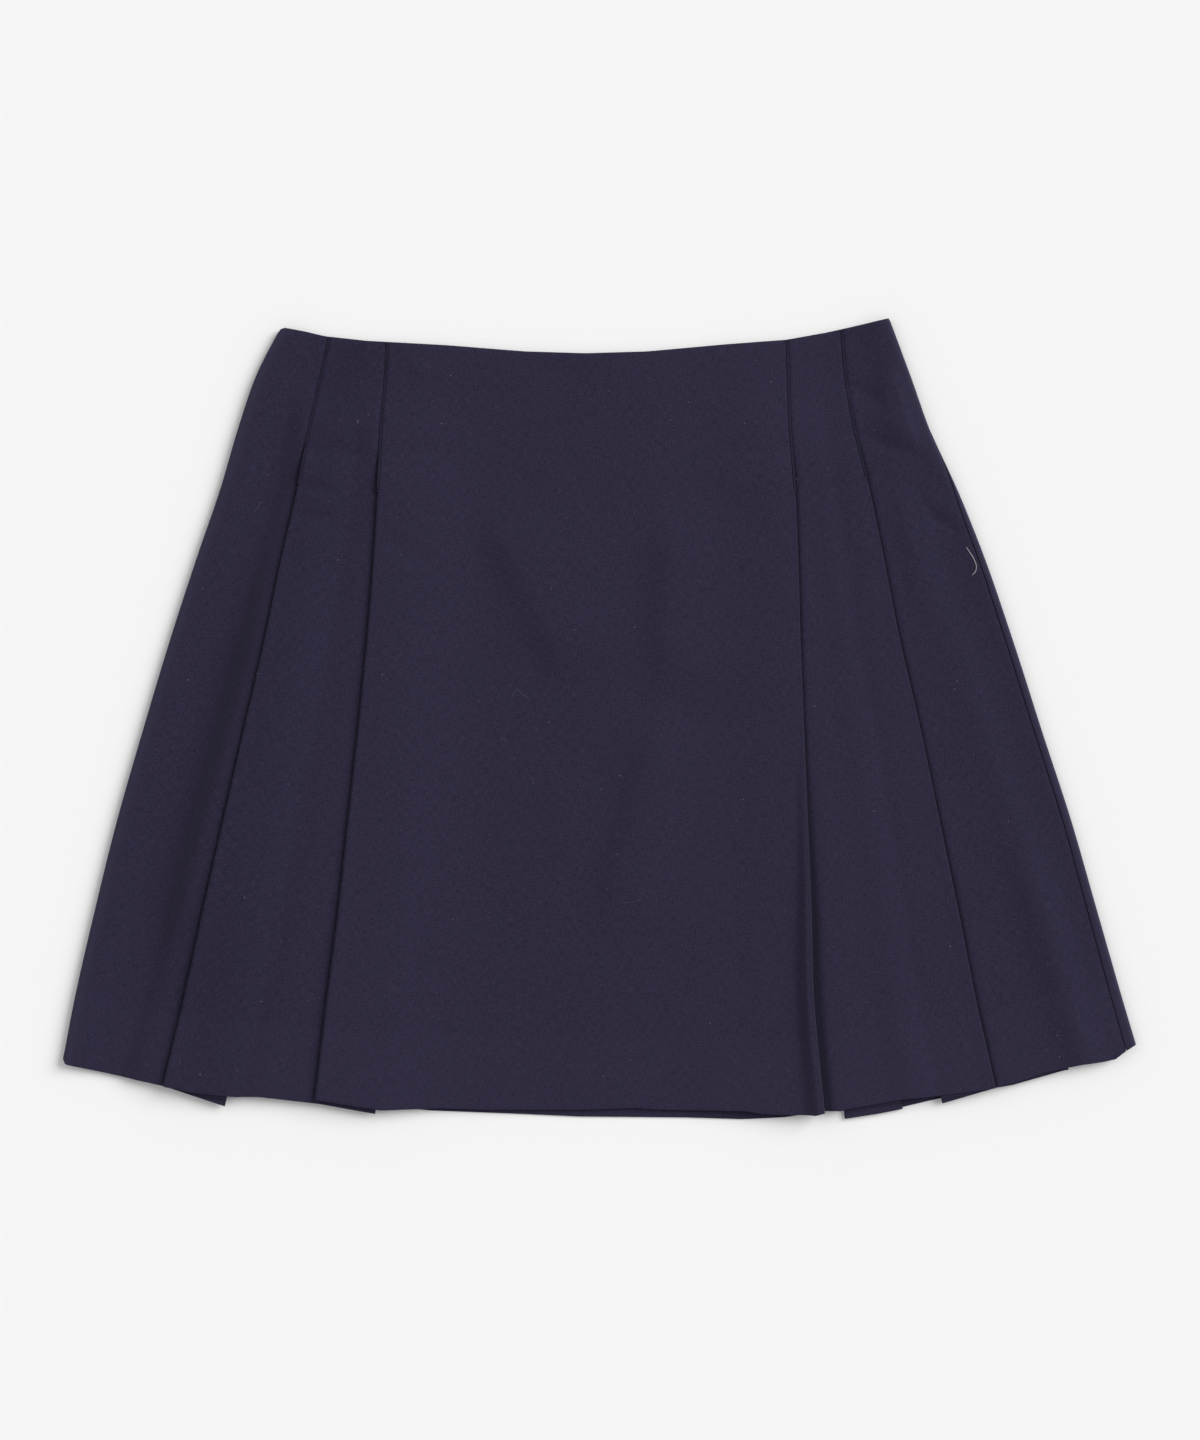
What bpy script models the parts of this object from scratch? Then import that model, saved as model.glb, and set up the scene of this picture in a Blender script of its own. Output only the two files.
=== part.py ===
"""A navy wool mini skirt, laid flat with its front up.

Five gores make the front and five make the back. Each seam between two gores is closed from the
waist to the hip and opens below it into a pleat: one gore folds under along the seam's line, and
its neighbour passes beneath it. The folds of the front face the sides, and those of the back face
the middle. The back lies on the ground, and the front lies on the back.

X runs across the skirt, Y from the hem up to the waist, and Z up from the ground. Sizes are in
millimetres until a mesh is made.
"""

import math
from collections import namedtuple

import bmesh
import bpy
import numpy as np

MM = 0.001

# The cloth, and how its plies lie on each other.
CLOTH = 1.0
GAP = 0.3
SIDE_SEAM_GAP = 0.5     # measured along the middle of the cloth, where the seam turns a tight fold
PLY = CLOTH + GAP
LOFT = 0.8              # air left between the back and the front
GROUND_PLY = CLOTH / 2  # height of the middle of the cloth that lies on the ground
BACK_WAIST_DROP = 1.5   # the back's waist lies this far below the front's at the middle
WAIST_HALF = 170.0      # half the waist, where the two waists meet

# The pleats. Shares run down the skirt, from 0 at the waist to 1 at the hem.
RELEASE = 0.20          # where the seams open into pleats
RELEASE_DEPTH = 5.0     # how deep a pleat is there
RISE_START = 0.13       # a gore starts to rise here, to clear the pleat under it
RISE_END = 0.19
FOLD_REACH = (PLY + CLOTH) / 2   # from a fold's edge to the axis that the cloth turns round
FOLD_TURNS = 5          # facets of a fold
LIP_SHARE = 0.25        # the sprung lip of a fold lies over this share of its pleat
SPRING_START = 0.48     # a sprung fold lifts off its pleat from here on down
SPRING_FULL = 0.85
PLEAT_SHARES = (0.0, LIP_SHARE, 0.6, 1.0)   # the places of the columns across a pleat
BESIDE_SHARES = (0.33, 0.66, 1.0)           # the places of the columns beside a pleat
BESIDE = 18.0                               # how far out the last of them lies

# The front bridges the back's pleats. It comes down from them over a short slope on the side of
# their seams, which each pleat has for itself, and over a long one on the side of their folds.
BRIDGE_MARGIN = 2.0
BRIDGE_INNER_SLOPE = 55.0
BRIDGE_START = 0.06
BRIDGE_END = 0.13

# The soft folds down the two sides.
SIDE_RADIUS = 2.2       # to the middle of the cloth
SIDE_REACH = SIDE_RADIUS + CLOTH / 2
SIDE_SLOPE = 24.0       # across which the front settles inward from a side fold
SIDE_INSET = 10.0       # from the outline inward to where the flat cloth starts
QUARTER_TURN = SIDE_RADIUS * math.pi / 2
SIDE_END = QUARTER_TURN + SIDE_INSET - SIDE_REACH

# The rows of every gore, as shares from its waist to its hem. The seams end in the short span
# above the release.
ROWS = (0.0, 0.045, 0.09, 0.13, 0.165, 0.196, RELEASE, 0.25, 0.31, 0.39, 0.47, 0.55, 0.63, 0.71,
        0.79, 0.87, 0.94, 1.0)
RELEASE_ROW = ROWS.index(RELEASE)

FRONT = "front"
BACK = "back"
LEFT = -1
RIGHT = 1

# The skirt's sides and the lines of its four front seams, at heights from above the waist to below
# the hem. The middle of the whole outline, which becomes the origin, lies at MIDDLE_X.
MIDDLE_X = 0.3
Outline = namedtuple(
    "Outline", "y left_edge left_outer left_inner right_inner right_outer right_edge")
OUTLINE = (
    Outline(223.5, -175.5, -148.5, -118.0, 105.0, 135.5, 162.5),
    Outline(192.5, -191.5, -155.5, -119.5, 106.0, 138.0, 174.0),
    Outline(162.0, -202.0, -162.0, -122.0, 107.0, 143.0, 185.0),
    Outline(128.0, -212.0, -168.5, -123.5, 109.5, 151.0, 200.5),
    Outline(94.5, -223.5, -176.0, -125.5, 111.0, 158.0, 214.0),
    Outline(44.0, -240.0, -186.0, -129.5, 112.5, 168.0, 231.5),
    Outline(-6.0, -255.0, -197.5, -134.5, 114.5, 179.5, 247.5),
    Outline(-56.5, -269.5, -209.0, -140.0, 116.5, 190.0, 264.0),
    Outline(-107.0, -282.0, -220.5, -145.5, 118.5, 200.5, 278.5),
    Outline(-157.5, -293.5, -232.0, -152.0, 120.0, 210.5, 293.0),
    Outline(-191.0, -300.0, -240.0, -156.0, 123.0, 218.0, 303.0),
    Outline(-224.5, -307.5, -248.0, -160.0, 126.5, 225.5, 313.0),
)

# The waist and the hems: points across the skirt.
Point = namedtuple("Point", "x y")
WAIST = (
    Point(-184.0, 209.0), Point(-180.5, 215.0), Point(-178.5, 217.5), Point(-175.5, 218.5),
    Point(-164.0, 216.5), Point(-153.0, 214.0), Point(-130.5, 211.5), Point(-85.5, 209.0),
    Point(-41.0, 205.5), Point(-7.5, 204.5), Point(26.5, 205.5), Point(71.0, 209.5),
    Point(104.5, 212.0), Point(127.0, 216.0), Point(149.5, 221.0), Point(162.5, 224.0),
)
RIGHT_CORNER_HEM = (
    Point(281.5, -191.5), Point(288.5, -190.0), Point(293.0, -186.5), Point(300.5, -181.5),
)
FRONT_SIDE_LEFT_HEM = (
    Point(-300.0, -187.5), Point(-298.0, -193.0), Point(-243.0, -205.0), Point(-206.0, -217.5),
)
FRONT_MID_LEFT_HEM = (
    Point(-243.0, -205.0), Point(-227.0, -208.5), Point(-203.5, -211.0), Point(-190.0, -211.0),
    Point(-156.0, -215.0), Point(-123.0, -221.0),
)
FRONT_CENTRE_HEM = (
    Point(-157.5, -212.5), Point(-121.5, -218.5), Point(-88.5, -217.5), Point(-62.5, -218.5),
    Point(-11.0, -218.5), Point(18.0, -217.5), Point(34.5, -218.5), Point(82.0, -219.0),
    Point(90.5, -220.5), Point(103.5, -221.0), Point(121.0, -221.0), Point(124.0, -220.0),
)
FRONT_MID_RIGHT_HEM = (
    Point(90.0, -221.0), Point(124.0, -219.0), Point(135.5, -219.0), Point(138.0, -218.0),
    Point(168.5, -212.5), Point(188.0, -210.5), Point(221.0, -206.0),
)
FRONT_SIDE_RIGHT_HEM = (
    Point(190.0, -215.5), Point(220.0, -206.5), Point(233.0, -203.0), Point(248.5, -197.5),
    Point(269.5, -193.0),
) + RIGHT_CORNER_HEM
BACK_SIDE_LEFT_HEM = (
    Point(-300.0, -187.5), Point(-293.5, -191.0), Point(-232.0, -204.5), Point(-195.0, -208.0),
)
BACK_MID_LEFT_HEM = (Point(-265.0, -197.0), Point(-232.0, -203.5), Point(-146.0, -212.0))
BACK_CENTRE_HEM = (
    Point(-180.0, -208.0), Point(-146.0, -212.0), Point(-97.0, -219.0), Point(-44.0, -221.0),
    Point(-11.0, -222.5), Point(47.5, -223.0), Point(81.0, -224.0), Point(103.5, -223.0),
    Point(116.5, -221.0), Point(136.0, -218.0), Point(170.0, -213.5),
)
BACK_MID_RIGHT_HEM = (
    Point(136.0, -224.0), Point(157.5, -220.0), Point(187.5, -213.0), Point(231.5, -204.5),
    Point(265.0, -195.0),
)
BACK_SIDE_RIGHT_HEM = (Point(231.5, -204.0), Point(258.5, -196.0)) + RIGHT_CORNER_HEM

# Where each side seam runs, as a distance round its fold from the outermost line: upward onto the
# front when positive.
SeamRoll = namedtuple("SeamRoll", "share left right")
SEAM_ROLL = (
    SeamRoll(0.00, -4.5, -3.3),
    SeamRoll(0.09, -4.5, -2.2),
    SeamRoll(0.17, -4.5, 0.8),
    SeamRoll(0.25, -5.0, 4.0),
    SeamRoll(0.35, -5.0, 4.9),
    SeamRoll(0.60, -6.0, 5.5),
    SeamRoll(1.00, -7.0, 7.5),
)

# How far the back's seams lie to the right of the front's, at the waist and at the hem.
BACK_SHIFT_WAIST = 3.5
BACK_SHIFT_HEM = 11.0

# The large soft folds of the front, each from its top end to its bottom end. A fold rises over its
# left bank and falls over its right one.
Fold = namedtuple("Fold", "top_x top_y bottom_x bottom_y left_bank right_bank height")
FOLDS = (
    Fold(-170.0, 125.0, -246.0, -165.0, 8.0, 30.0, 2.8),
    Fold(-62.0, 122.0, -10.0, 16.0, 10.0, 32.0, 1.5),
    Fold(42.0, 128.0, 38.0, 0.0, 10.0, 40.0, 1.5),
    Fold(40.0, 16.0, 2.0, -130.0, 10.0, 32.0, 1.3),
    Fold(-140.0, 0.0, -180.0, -198.0, 12.0, 16.0, 0.6),
    Fold(240.0, -40.0, 286.0, -190.0, 10.0, 12.0, 1.4),
)
FOLD_FADE = 0.3         # the share of a fold's length over which each end fades

# The zip in the right side seam.
TAPE_STEP = PLY + 0.3   # from the gore to the tape inside it
TAPE_RADIUS = SIDE_RADIUS - TAPE_STEP
TAPE_LEG = 4.0          # of flat tape on each side of the fold
TAPE_ROWS = (0.01, 0.045, 0.09, 0.13, 0.165, RELEASE, 0.25, 0.29)   # shares down the skirt

# Colours, as linear red, green and blue, and the roughness of the two cloths.
NAVY_WOOL = (0.0284, 0.0242, 0.0482, 1.0)
NAVY_TAPE = (0.0200, 0.0190, 0.0400, 1.0)
WOOL_ROUGHNESS = 0.9
TAPE_ROUGHNESS = 0.7


def clamp(value):
    return min(max(value, 0.0), 1.0)


def blend(start, end, share):
    return start + (end - start) * share


def smooth(share):
    """Go from 0 to 1 with level ends."""
    share = clamp(share)
    return share * share * (3.0 - 2.0 * share)


class Curve:
    """A smooth curve through the points of a table, and straight beyond its ends."""

    def __init__(self, places, values):
        order = np.argsort(places)
        self.places = np.array(places, dtype=float)[order]
        self.values = np.array(values, dtype=float)[order]
        self.slopes = np.gradient(self.values, self.places)

    def __call__(self, place):
        if place <= self.places[0]:
            return self.values[0] + self.slopes[0] * (place - self.places[0])
        if place >= self.places[-1]:
            return self.values[-1] + self.slopes[-1] * (place - self.places[-1])
        i = int(np.searchsorted(self.places, place)) - 1
        span = self.places[i + 1] - self.places[i]
        t = (place - self.places[i]) / span
        start_pull = self.slopes[i] * span * t * (1.0 - t) ** 2
        end_pull = self.slopes[i + 1] * span * t * t * (1.0 - t)
        return blend(self.values[i], self.values[i + 1], smooth(t)) + start_pull - end_pull


def outline_curve(column):
    return Curve([row.y for row in OUTLINE], [getattr(row, column) for row in OUTLINE])


def cornered(points):
    """A line through points that keeps its corners."""
    xs = [point.x for point in points]
    ys = [point.y for point in points]
    return lambda x: float(np.interp(x, xs, ys))


EDGES = {LEFT: outline_curve("left_edge"), RIGHT: outline_curve("right_edge")}
ROLLS = {
    LEFT: Curve([row.share for row in SEAM_ROLL], [row.left for row in SEAM_ROLL]),
    RIGHT: Curve([row.share for row in SEAM_ROLL], [row.right for row in SEAM_ROLL]),
}
waist_height = cornered(WAIST)


def share_down(x, y):
    """How far down the skirt a place is, from 0 at the waist to 1 at an even hem."""
    centre_hem = -221.0
    side_lift = 33.0
    half_width = 300.0
    hem = centre_hem + side_lift * (x / half_width) ** 2
    waist = waist_height(x)
    return (waist - y) / (waist - hem)


# A pleat lies between its line, where the fold is, and its inner seam. The inner seam is at
# `inward` times its depth from the line. `flap_drop` is how far the flap's hem hangs below the
# gore's own at the inner seam, and `spring` how far the fold lifts off its pleat at the hem. The
# gore on top comes down again over `slope`, and the front comes down outside a pleat of the back
# over `outer_slope`.
Pleat = namedtuple("Pleat", "line inward depth flap_drop spring slope outer_slope")


def front_pleat(column, inward, depth, flap_drop, spring, slope):
    return Pleat(outline_curve(column), inward, depth, flap_drop, spring, slope, None)


def back_pleat(column, inward, depth, outer_slope):
    front_line = outline_curve(column)
    flap_drop = 1.0
    slope = 18.0

    def line(y):
        x = front_line(y)
        return x + blend(BACK_SHIFT_WAIST, BACK_SHIFT_HEM, share_down(x, y))

    return Pleat(line, inward, depth, flap_drop, 0.0, slope, outer_slope)


FRONT_PLEATS = {
    "left_outer": front_pleat("left_outer", RIGHT, 37.0, 2.0, 0.4, 34.0),
    "left_inner": front_pleat("left_inner", RIGHT, 34.5, 0.0, 0.4, 60.0),
    "right_inner": front_pleat("right_inner", LEFT, 33.5, -0.5, 4.0, 60.0),
    "right_outer": front_pleat("right_outer", LEFT, 31.5, 2.5, 0.4, 34.0),
}
BACK_PLEATS = {
    "left_outer": back_pleat("left_outer", LEFT, 23.0, 12.0),
    "left_inner": back_pleat("left_inner", LEFT, 33.0, 26.0),
    "right_inner": back_pleat("right_inner", RIGHT, 33.0, 26.0),
    "right_outer": back_pleat("right_outer", RIGHT, 33.0, 34.0),
}


def pleat_depth(pleat, y):
    share = (share_down(pleat.line(y), y) - RELEASE) / (1.0 - RELEASE)
    return blend(RELEASE_DEPTH, pleat.depth, clamp(share))


def pleat_spring(pleat, y):
    """How far the fold's edge lifts at this height."""
    share = share_down(pleat.line(y), y)
    return pleat.spring * smooth((share - SPRING_START) / (SPRING_FULL - SPRING_START))


def past_fold(pleat, x, y):
    """How far a place lies outside a pleat on the side of its fold."""
    return pleat.inward * (pleat.line(y) - x)


def past_seam(pleat, x, y):
    """How far a place lies outside a pleat on the side of its inner seam."""
    return pleat.inward * (x - pleat.line(y)) - pleat_depth(pleat, y)


def over_pleat(pleat, x, y):
    """From 0 to 1, how far the gore on top of a pleat is raised at a place."""
    outside = max(past_fold(pleat, x, y), past_seam(pleat, x, y))
    down = smooth((share_down(x, y) - RISE_START) / (RISE_END - RISE_START))
    return (1.0 - smooth(outside / pleat.slope)) * down


def bridge(pleat, x, y):
    """From 0 to 1, how far the front is raised over a pleat of the back."""
    inner = 1.0 - smooth((past_fold(pleat, x, y) - BRIDGE_MARGIN) / BRIDGE_INNER_SLOPE)
    outer = 1.0 - smooth((past_seam(pleat, x, y) - BRIDGE_MARGIN) / pleat.outer_slope)
    down = smooth((share_down(x, y) - BRIDGE_START) / (BRIDGE_END - BRIDGE_START))
    return min(inner, outer) * down


def fold_height(fold, x, y):
    along_x = fold.bottom_x - fold.top_x
    along_y = fold.bottom_y - fold.top_y
    length = math.hypot(along_x, along_y)
    from_x = x - fold.top_x
    from_y = y - fold.top_y
    along = (from_x * along_x + from_y * along_y) / length ** 2
    to_right = (from_y * along_x - from_x * along_y) / length
    bank = fold.left_bank if to_right < 0.0 else fold.right_bank
    ends = smooth(along / FOLD_FADE) * smooth((1.0 - along) / FOLD_FADE)
    return fold.height * ends * math.exp(-((to_right / bank) ** 2))


def edge_calm(x, y):
    """From 0 at a side fold to 1 inside it, where the other folds may start."""
    inward = min(x - EDGES[LEFT](y), EDGES[RIGHT](y) - x) - SIDE_REACH
    return smooth(inward / SIDE_INSET)


def side_rise(x, y):
    """How far a side fold holds the front up at a place."""
    full = 2.0 * SIDE_RADIUS - PLY - LOFT
    rise = 0.0
    for side, edge in EDGES.items():
        inward = side * (edge(y) - x) - SIDE_REACH
        rise += full * (1.0 - smooth(inward / SIDE_SLOPE))
    return rise


def lowest_ply(face, x, y):
    """Height of the middle of a face's lowest ply."""
    if face == BACK:
        return GROUND_PLY
    over_back = max(bridge(pleat, x, y) for pleat in BACK_PLEATS.values())
    folds = sum(fold_height(fold, x, y) for fold in FOLDS) * edge_calm(x, y)
    return GROUND_PLY + PLY + LOFT + 2.0 * PLY * over_back + side_rise(x, y) + folds


# A column runs down a gore from waist to hem: x at a height below the release, x at a height above
# it, or None where the column starts only at the release, z at a place, and its hem.
Column = namedtuple("Column", "across above height hem")


def full_column(across, height, hem):
    return Column(across, across, height, hem)


def flat_column(panel, across):
    return full_column(across, panel.height, panel.hem)


def pleat_place(pleat, share):
    """A place across a pleat, from its fold's axis to its seam, as a function of the height."""
    def across(y):
        axis = FOLD_REACH + pleat_spring(pleat, y) / 2.0
        return pleat.line(y) + pleat.inward * blend(axis, pleat_depth(pleat, y), share)
    return across


def folded_columns(panel, pleat):
    """Columns from the flap's seam round the fold and back over the pleat."""
    axis = pleat_place(pleat, 0.0)

    def seam(y):
        return pleat.line(y) + pleat.inward * GAP / 2.0

    def flap_height(x, y):
        return lowest_ply(panel.face, x, y) + PLY

    def flap_hem(share):
        return lambda x: panel.hem(x) - pleat.flap_drop * share

    def own_height(share):
        def height(x, y):
            lift = pleat_spring(pleat, y) * (1.0 - smooth(share / LIP_SHARE))
            return panel.height(x, y) + lift
        return height

    def turn(angle):
        """A column on the fold, which turns from the flap to the gore's own ply."""
        def across(y):
            reach = (PLY + pleat_spring(pleat, y)) / 2.0
            return axis(y) - pleat.inward * reach * math.sin(angle)

        def height(x, y):
            flap = flap_height(axis(y), y)
            own = own_height(0.0)(axis(y), y)
            return (flap + own) / 2.0 - (own - flap) / 2.0 * math.cos(angle)

        return Column(across, None, height, panel.hem)

    flap = [
        Column(pleat_place(pleat, share), None, flap_height, flap_hem(share))
        for share in reversed(PLEAT_SHARES)
    ]
    fold = [turn(math.pi * k / FOLD_TURNS) for k in range(1, FOLD_TURNS)]
    own = [Column(axis, seam, own_height(0.0), panel.hem)]
    own += [
        full_column(pleat_place(pleat, share), own_height(share), panel.hem)
        for share in PLEAT_SHARES[1:]
    ]
    if panel.face == FRONT:
        own += beside_columns(panel, pleat_place(pleat, 1.0), pleat.inward)
    return flap + fold + own


def beside_columns(panel, start, direction):
    """Columns beside a pleat, where a raised gore starts to come down."""
    def at(share):
        return lambda y: start(y) + direction * BESIDE * share
    return [flat_column(panel, at(share)) for share in BESIDE_SHARES]


def under_columns(panel, pleat):
    """Columns from the inner seam out to the line, where the gore comes into sight."""
    hidden = [
        Column(pleat_place(pleat, share), None, panel.height, panel.hem)
        for share in reversed(PLEAT_SHARES)
    ]
    shown = [flat_column(panel, lambda y: pleat.line(y) - pleat.inward * GAP / 2.0)]
    if panel.face == BACK:
        shown += beside_columns(panel, pleat.line, -pleat.inward)
    return hidden + shown


def side_columns(panel, side, count):
    """Columns from the side seam round the side fold to where the flat cloth starts."""
    edge = EDGES[side]
    toward = 1.0 if panel.face == FRONT else -1.0

    def turn(share):
        def place(y):
            seam = ROLLS[side](share_down(edge(y), y)) + toward * SIDE_SEAM_GAP / 2.0
            return blend(seam, toward * SIDE_END, share)

        def across(y):
            around = place(y)
            if abs(around) < QUARTER_TURN:
                return edge(y) - side * (SIDE_REACH - SIDE_RADIUS * math.cos(around / SIDE_RADIUS))
            return edge(y) - side * (SIDE_REACH + abs(around) - QUARTER_TURN)

        def height(x, y):
            around = place(y)
            if around <= -QUARTER_TURN:
                return GROUND_PLY
            if around >= QUARTER_TURN:
                return lowest_ply(FRONT, x, y)
            top = lowest_ply(FRONT, edge(y) - side * SIDE_REACH, y)
            middle = (top + GROUND_PLY) / 2.0
            return middle + (top - middle) * math.sin(around / SIDE_RADIUS)

        return full_column(across, height, panel.hem)

    return [turn(k / (count - 1)) for k in range(count)]


def middle_columns(panel, left, right, count):
    """Columns spread evenly between the last ones of a gore's two sides."""
    def at(share):
        return lambda y: blend(left.across(y), right.across(y), share)
    return [flat_column(panel, at(k / (count + 1))) for k in range(1, count + 1)]


# A gore: its name, face, the height of its own ply, its hem, and its two sides, each a Pleat or the
# number of columns round a side fold.
Panel = namedtuple("Panel", "name face height hem left right middle")


def make_panel(name, face, left, right, hem, middle):
    pleats = [pleat for pleat in (left, right) if isinstance(pleat, Pleat)]
    climbs = [pleat for pleat in pleats if climbs_over(pleat, face, LEFT if pleat is left else RIGHT)]

    def height(x, y):
        lift = sum(over_pleat(pleat, x, y) for pleat in climbs)
        return lowest_ply(face, x, y) + 2.0 * PLY * lift

    return Panel(name, face, height, cornered(hem), left, right, middle)


def folds_at(pleat, side):
    """Whether a gore folds at the pleat on this side of it, or else passes under it."""
    return pleat.inward == -side


def climbs_over(pleat, face, side):
    """On the front the folded gore lies on top. On the back its neighbour does."""
    return folds_at(pleat, side) == (face == FRONT)


def boundary_columns(panel, boundary, side):
    if not isinstance(boundary, Pleat):
        return side_columns(panel, side, boundary)
    if folds_at(boundary, side):
        return folded_columns(panel, boundary)
    return under_columns(panel, boundary)


def waist_of(face, x):
    if face == FRONT:
        return waist_height(x)
    return waist_height(x) - BACK_WAIST_DROP * clamp(1.0 - (x / WAIST_HALF) ** 2)


def column_ends(column, face):
    """The heights of a column's waist and hem ends, found by closing in on them."""
    top = 210.0
    bottom = -210.0
    closings = 12
    for _ in range(closings):
        top = waist_of(face, (column.above or column.across)(top))
        bottom = column.hem(column.across(bottom))
    return top, bottom


def grid_mesh(name, columns, ends, rows, release_row):
    """A mesh of quads over columns and rows, without the places that columns leave out."""
    build = bmesh.new()
    grid = {}
    for c, column in enumerate(columns):
        top, bottom = ends[c]
        for r, share in enumerate(rows):
            across = column.above if r < release_row else column.across
            if across is None:
                continue
            y = blend(top, bottom, share)
            x = across(y)
            z = column.height(x, y)
            grid[r, c] = build.verts.new(((x - MIDDLE_X) * MM, y * MM, z * MM))
    for r in range(len(rows) - 1):
        for c in range(len(columns) - 1):
            corners = [(r, c), (r + 1, c), (r + 1, c + 1), (r, c + 1)]
            if all(corner in grid for corner in corners):
                build.faces.new([grid[corner] for corner in corners])
    mesh = bpy.data.meshes.new(name)
    build.to_mesh(mesh)
    build.free()
    mesh.shade_smooth()
    return mesh


def add_sheet(name, mesh, material, collection):
    """An object of cloth: the sheet with its thickness on both sides."""
    sheet = bpy.data.objects.new(name, mesh)
    sheet.data.materials.append(material)
    collection.objects.link(sheet)
    wall = sheet.modifiers.new("Cloth", "SOLIDIFY")
    wall.thickness = CLOTH * MM
    wall.offset = 0.0
    return sheet


def cloth_material(name, colour, roughness):
    material = bpy.data.materials.new(name)
    material.use_nodes = True
    shader = material.node_tree.nodes["Principled BSDF"]
    shader.inputs["Base Color"].default_value = colour
    shader.inputs["Roughness"].default_value = roughness
    shader.inputs["Metallic"].default_value = 0.0
    return material


def add_gore(panel, collection):
    left = boundary_columns(panel, panel.left, LEFT)
    right = boundary_columns(panel, panel.right, RIGHT)
    middle = middle_columns(panel, left[-1], right[-1], panel.middle)
    columns = left + middle + right[::-1]
    ends = [column_ends(column, panel.face) for column in columns]
    mesh = grid_mesh(panel.name, columns, ends, ROWS, RELEASE_ROW)
    material = cloth_material("Navy wool " + panel.name, NAVY_WOOL, WOOL_ROUGHNESS)
    return add_sheet(panel.name, mesh, material, collection)


def add_zip_tape(collection):
    """The closed zip's tapes, folded round the inside of the right side fold."""
    edge = EDGES[RIGHT]
    quarter = TAPE_RADIUS * math.pi / 2
    end = quarter + TAPE_LEG

    def turn(around):
        def inset():
            if abs(around) < quarter:
                return SIDE_REACH - TAPE_RADIUS * math.cos(around / TAPE_RADIUS)
            return SIDE_REACH + abs(around) - quarter

        def across(y):
            return edge(y) - inset()

        def height(x, y):
            bottom = GROUND_PLY + TAPE_STEP
            if around <= -quarter:
                return bottom
            if around >= quarter:
                return lowest_ply(FRONT, x, y) - TAPE_STEP
            top = lowest_ply(FRONT, edge(y) - SIDE_REACH, y) - TAPE_STEP
            middle = (top + bottom) / 2.0
            return middle + (top - middle) * math.sin(around / TAPE_RADIUS)

        return full_column(across, height, cornered(FRONT_SIDE_RIGHT_HEM))

    places = (
        [-end, -quarter - TAPE_LEG / 2] + [quarter * k / 2 for k in (-2, -1, 0, 1, 2)]
        + [quarter + TAPE_LEG / 2, end])
    columns = [turn(around) for around in places]
    ends = [column_ends(column, FRONT) for column in columns]
    mesh = grid_mesh("zip_tape", columns, ends, TAPE_ROWS, 0)
    material = cloth_material("Zip tape", NAVY_TAPE, TAPE_ROUGHNESS)
    return add_sheet("zip_tape", mesh, material, collection)


def gores():
    front = FRONT_PLEATS
    back = BACK_PLEATS
    return (
        make_panel("front_side_left", FRONT, 11, front["left_outer"], FRONT_SIDE_LEFT_HEM, 5),
        make_panel("front_mid_left", FRONT, front["left_outer"], front["left_inner"],
                   FRONT_MID_LEFT_HEM, 4),
        make_panel("front_centre", FRONT, front["left_inner"], front["right_inner"],
                   FRONT_CENTRE_HEM, 14),
        make_panel("front_mid_right", FRONT, front["right_inner"], front["right_outer"],
                   FRONT_MID_RIGHT_HEM, 5),
        make_panel("front_side_right", FRONT, front["right_outer"], 8, FRONT_SIDE_RIGHT_HEM, 7),
        make_panel("back_side_left", BACK, 4, back["left_outer"], BACK_SIDE_LEFT_HEM, 2),
        make_panel("back_mid_left", BACK, back["left_outer"], back["left_inner"],
                   BACK_MID_LEFT_HEM, 2),
        make_panel("back_centre", BACK, back["left_inner"], back["right_inner"],
                   BACK_CENTRE_HEM, 5),
        make_panel("back_mid_right", BACK, back["right_inner"], back["right_outer"],
                   BACK_MID_RIGHT_HEM, 2),
        make_panel("back_side_right", BACK, back["right_outer"], 11, BACK_SIDE_RIGHT_HEM, 2),
    )


def clear_scene():
    for old in list(bpy.data.objects):
        bpy.data.objects.remove(old, do_unlink=True)


def main():
    clear_scene()
    collection = bpy.data.collections.new("Navy mini skirt")
    bpy.context.scene.collection.children.link(collection)
    for panel in gores():
        add_gore(panel, collection)
    add_zip_tape(collection)


main()
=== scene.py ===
"""The looks of a navy wool mini skirt that lies flat, front up, on a pale ground.

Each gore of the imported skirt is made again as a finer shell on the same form, with its soft
creases, its rolled seam edges and its turned-up hem. The sewing, the zip's coil and the lint on
the wool are added to it. X runs across the skirt, Y from the hem up to the waist and Z up from the
ground. Sizes are in millimetres until a mesh is made.
"""

import math
import random
from collections import namedtuple

import bpy
import numpy as np
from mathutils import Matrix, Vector
from mathutils.bvhtree import BVHTree


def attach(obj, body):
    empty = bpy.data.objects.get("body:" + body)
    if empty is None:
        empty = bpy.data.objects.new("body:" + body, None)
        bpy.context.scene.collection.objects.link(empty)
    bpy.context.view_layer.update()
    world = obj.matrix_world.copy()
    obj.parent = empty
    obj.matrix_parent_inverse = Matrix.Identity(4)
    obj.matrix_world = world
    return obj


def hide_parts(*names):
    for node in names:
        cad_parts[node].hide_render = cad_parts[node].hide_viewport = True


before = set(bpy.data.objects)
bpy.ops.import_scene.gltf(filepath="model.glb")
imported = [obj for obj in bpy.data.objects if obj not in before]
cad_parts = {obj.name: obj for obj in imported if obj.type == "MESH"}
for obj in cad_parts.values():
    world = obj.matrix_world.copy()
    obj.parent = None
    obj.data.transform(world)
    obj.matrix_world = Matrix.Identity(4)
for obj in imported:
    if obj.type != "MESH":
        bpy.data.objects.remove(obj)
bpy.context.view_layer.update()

MM = 0.001
BODY = "root"

# ---------------------------------------------------------------------------------------------
# The skirt's sizes, as in its solids but for the leg of the zip's tape
# ---------------------------------------------------------------------------------------------

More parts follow.
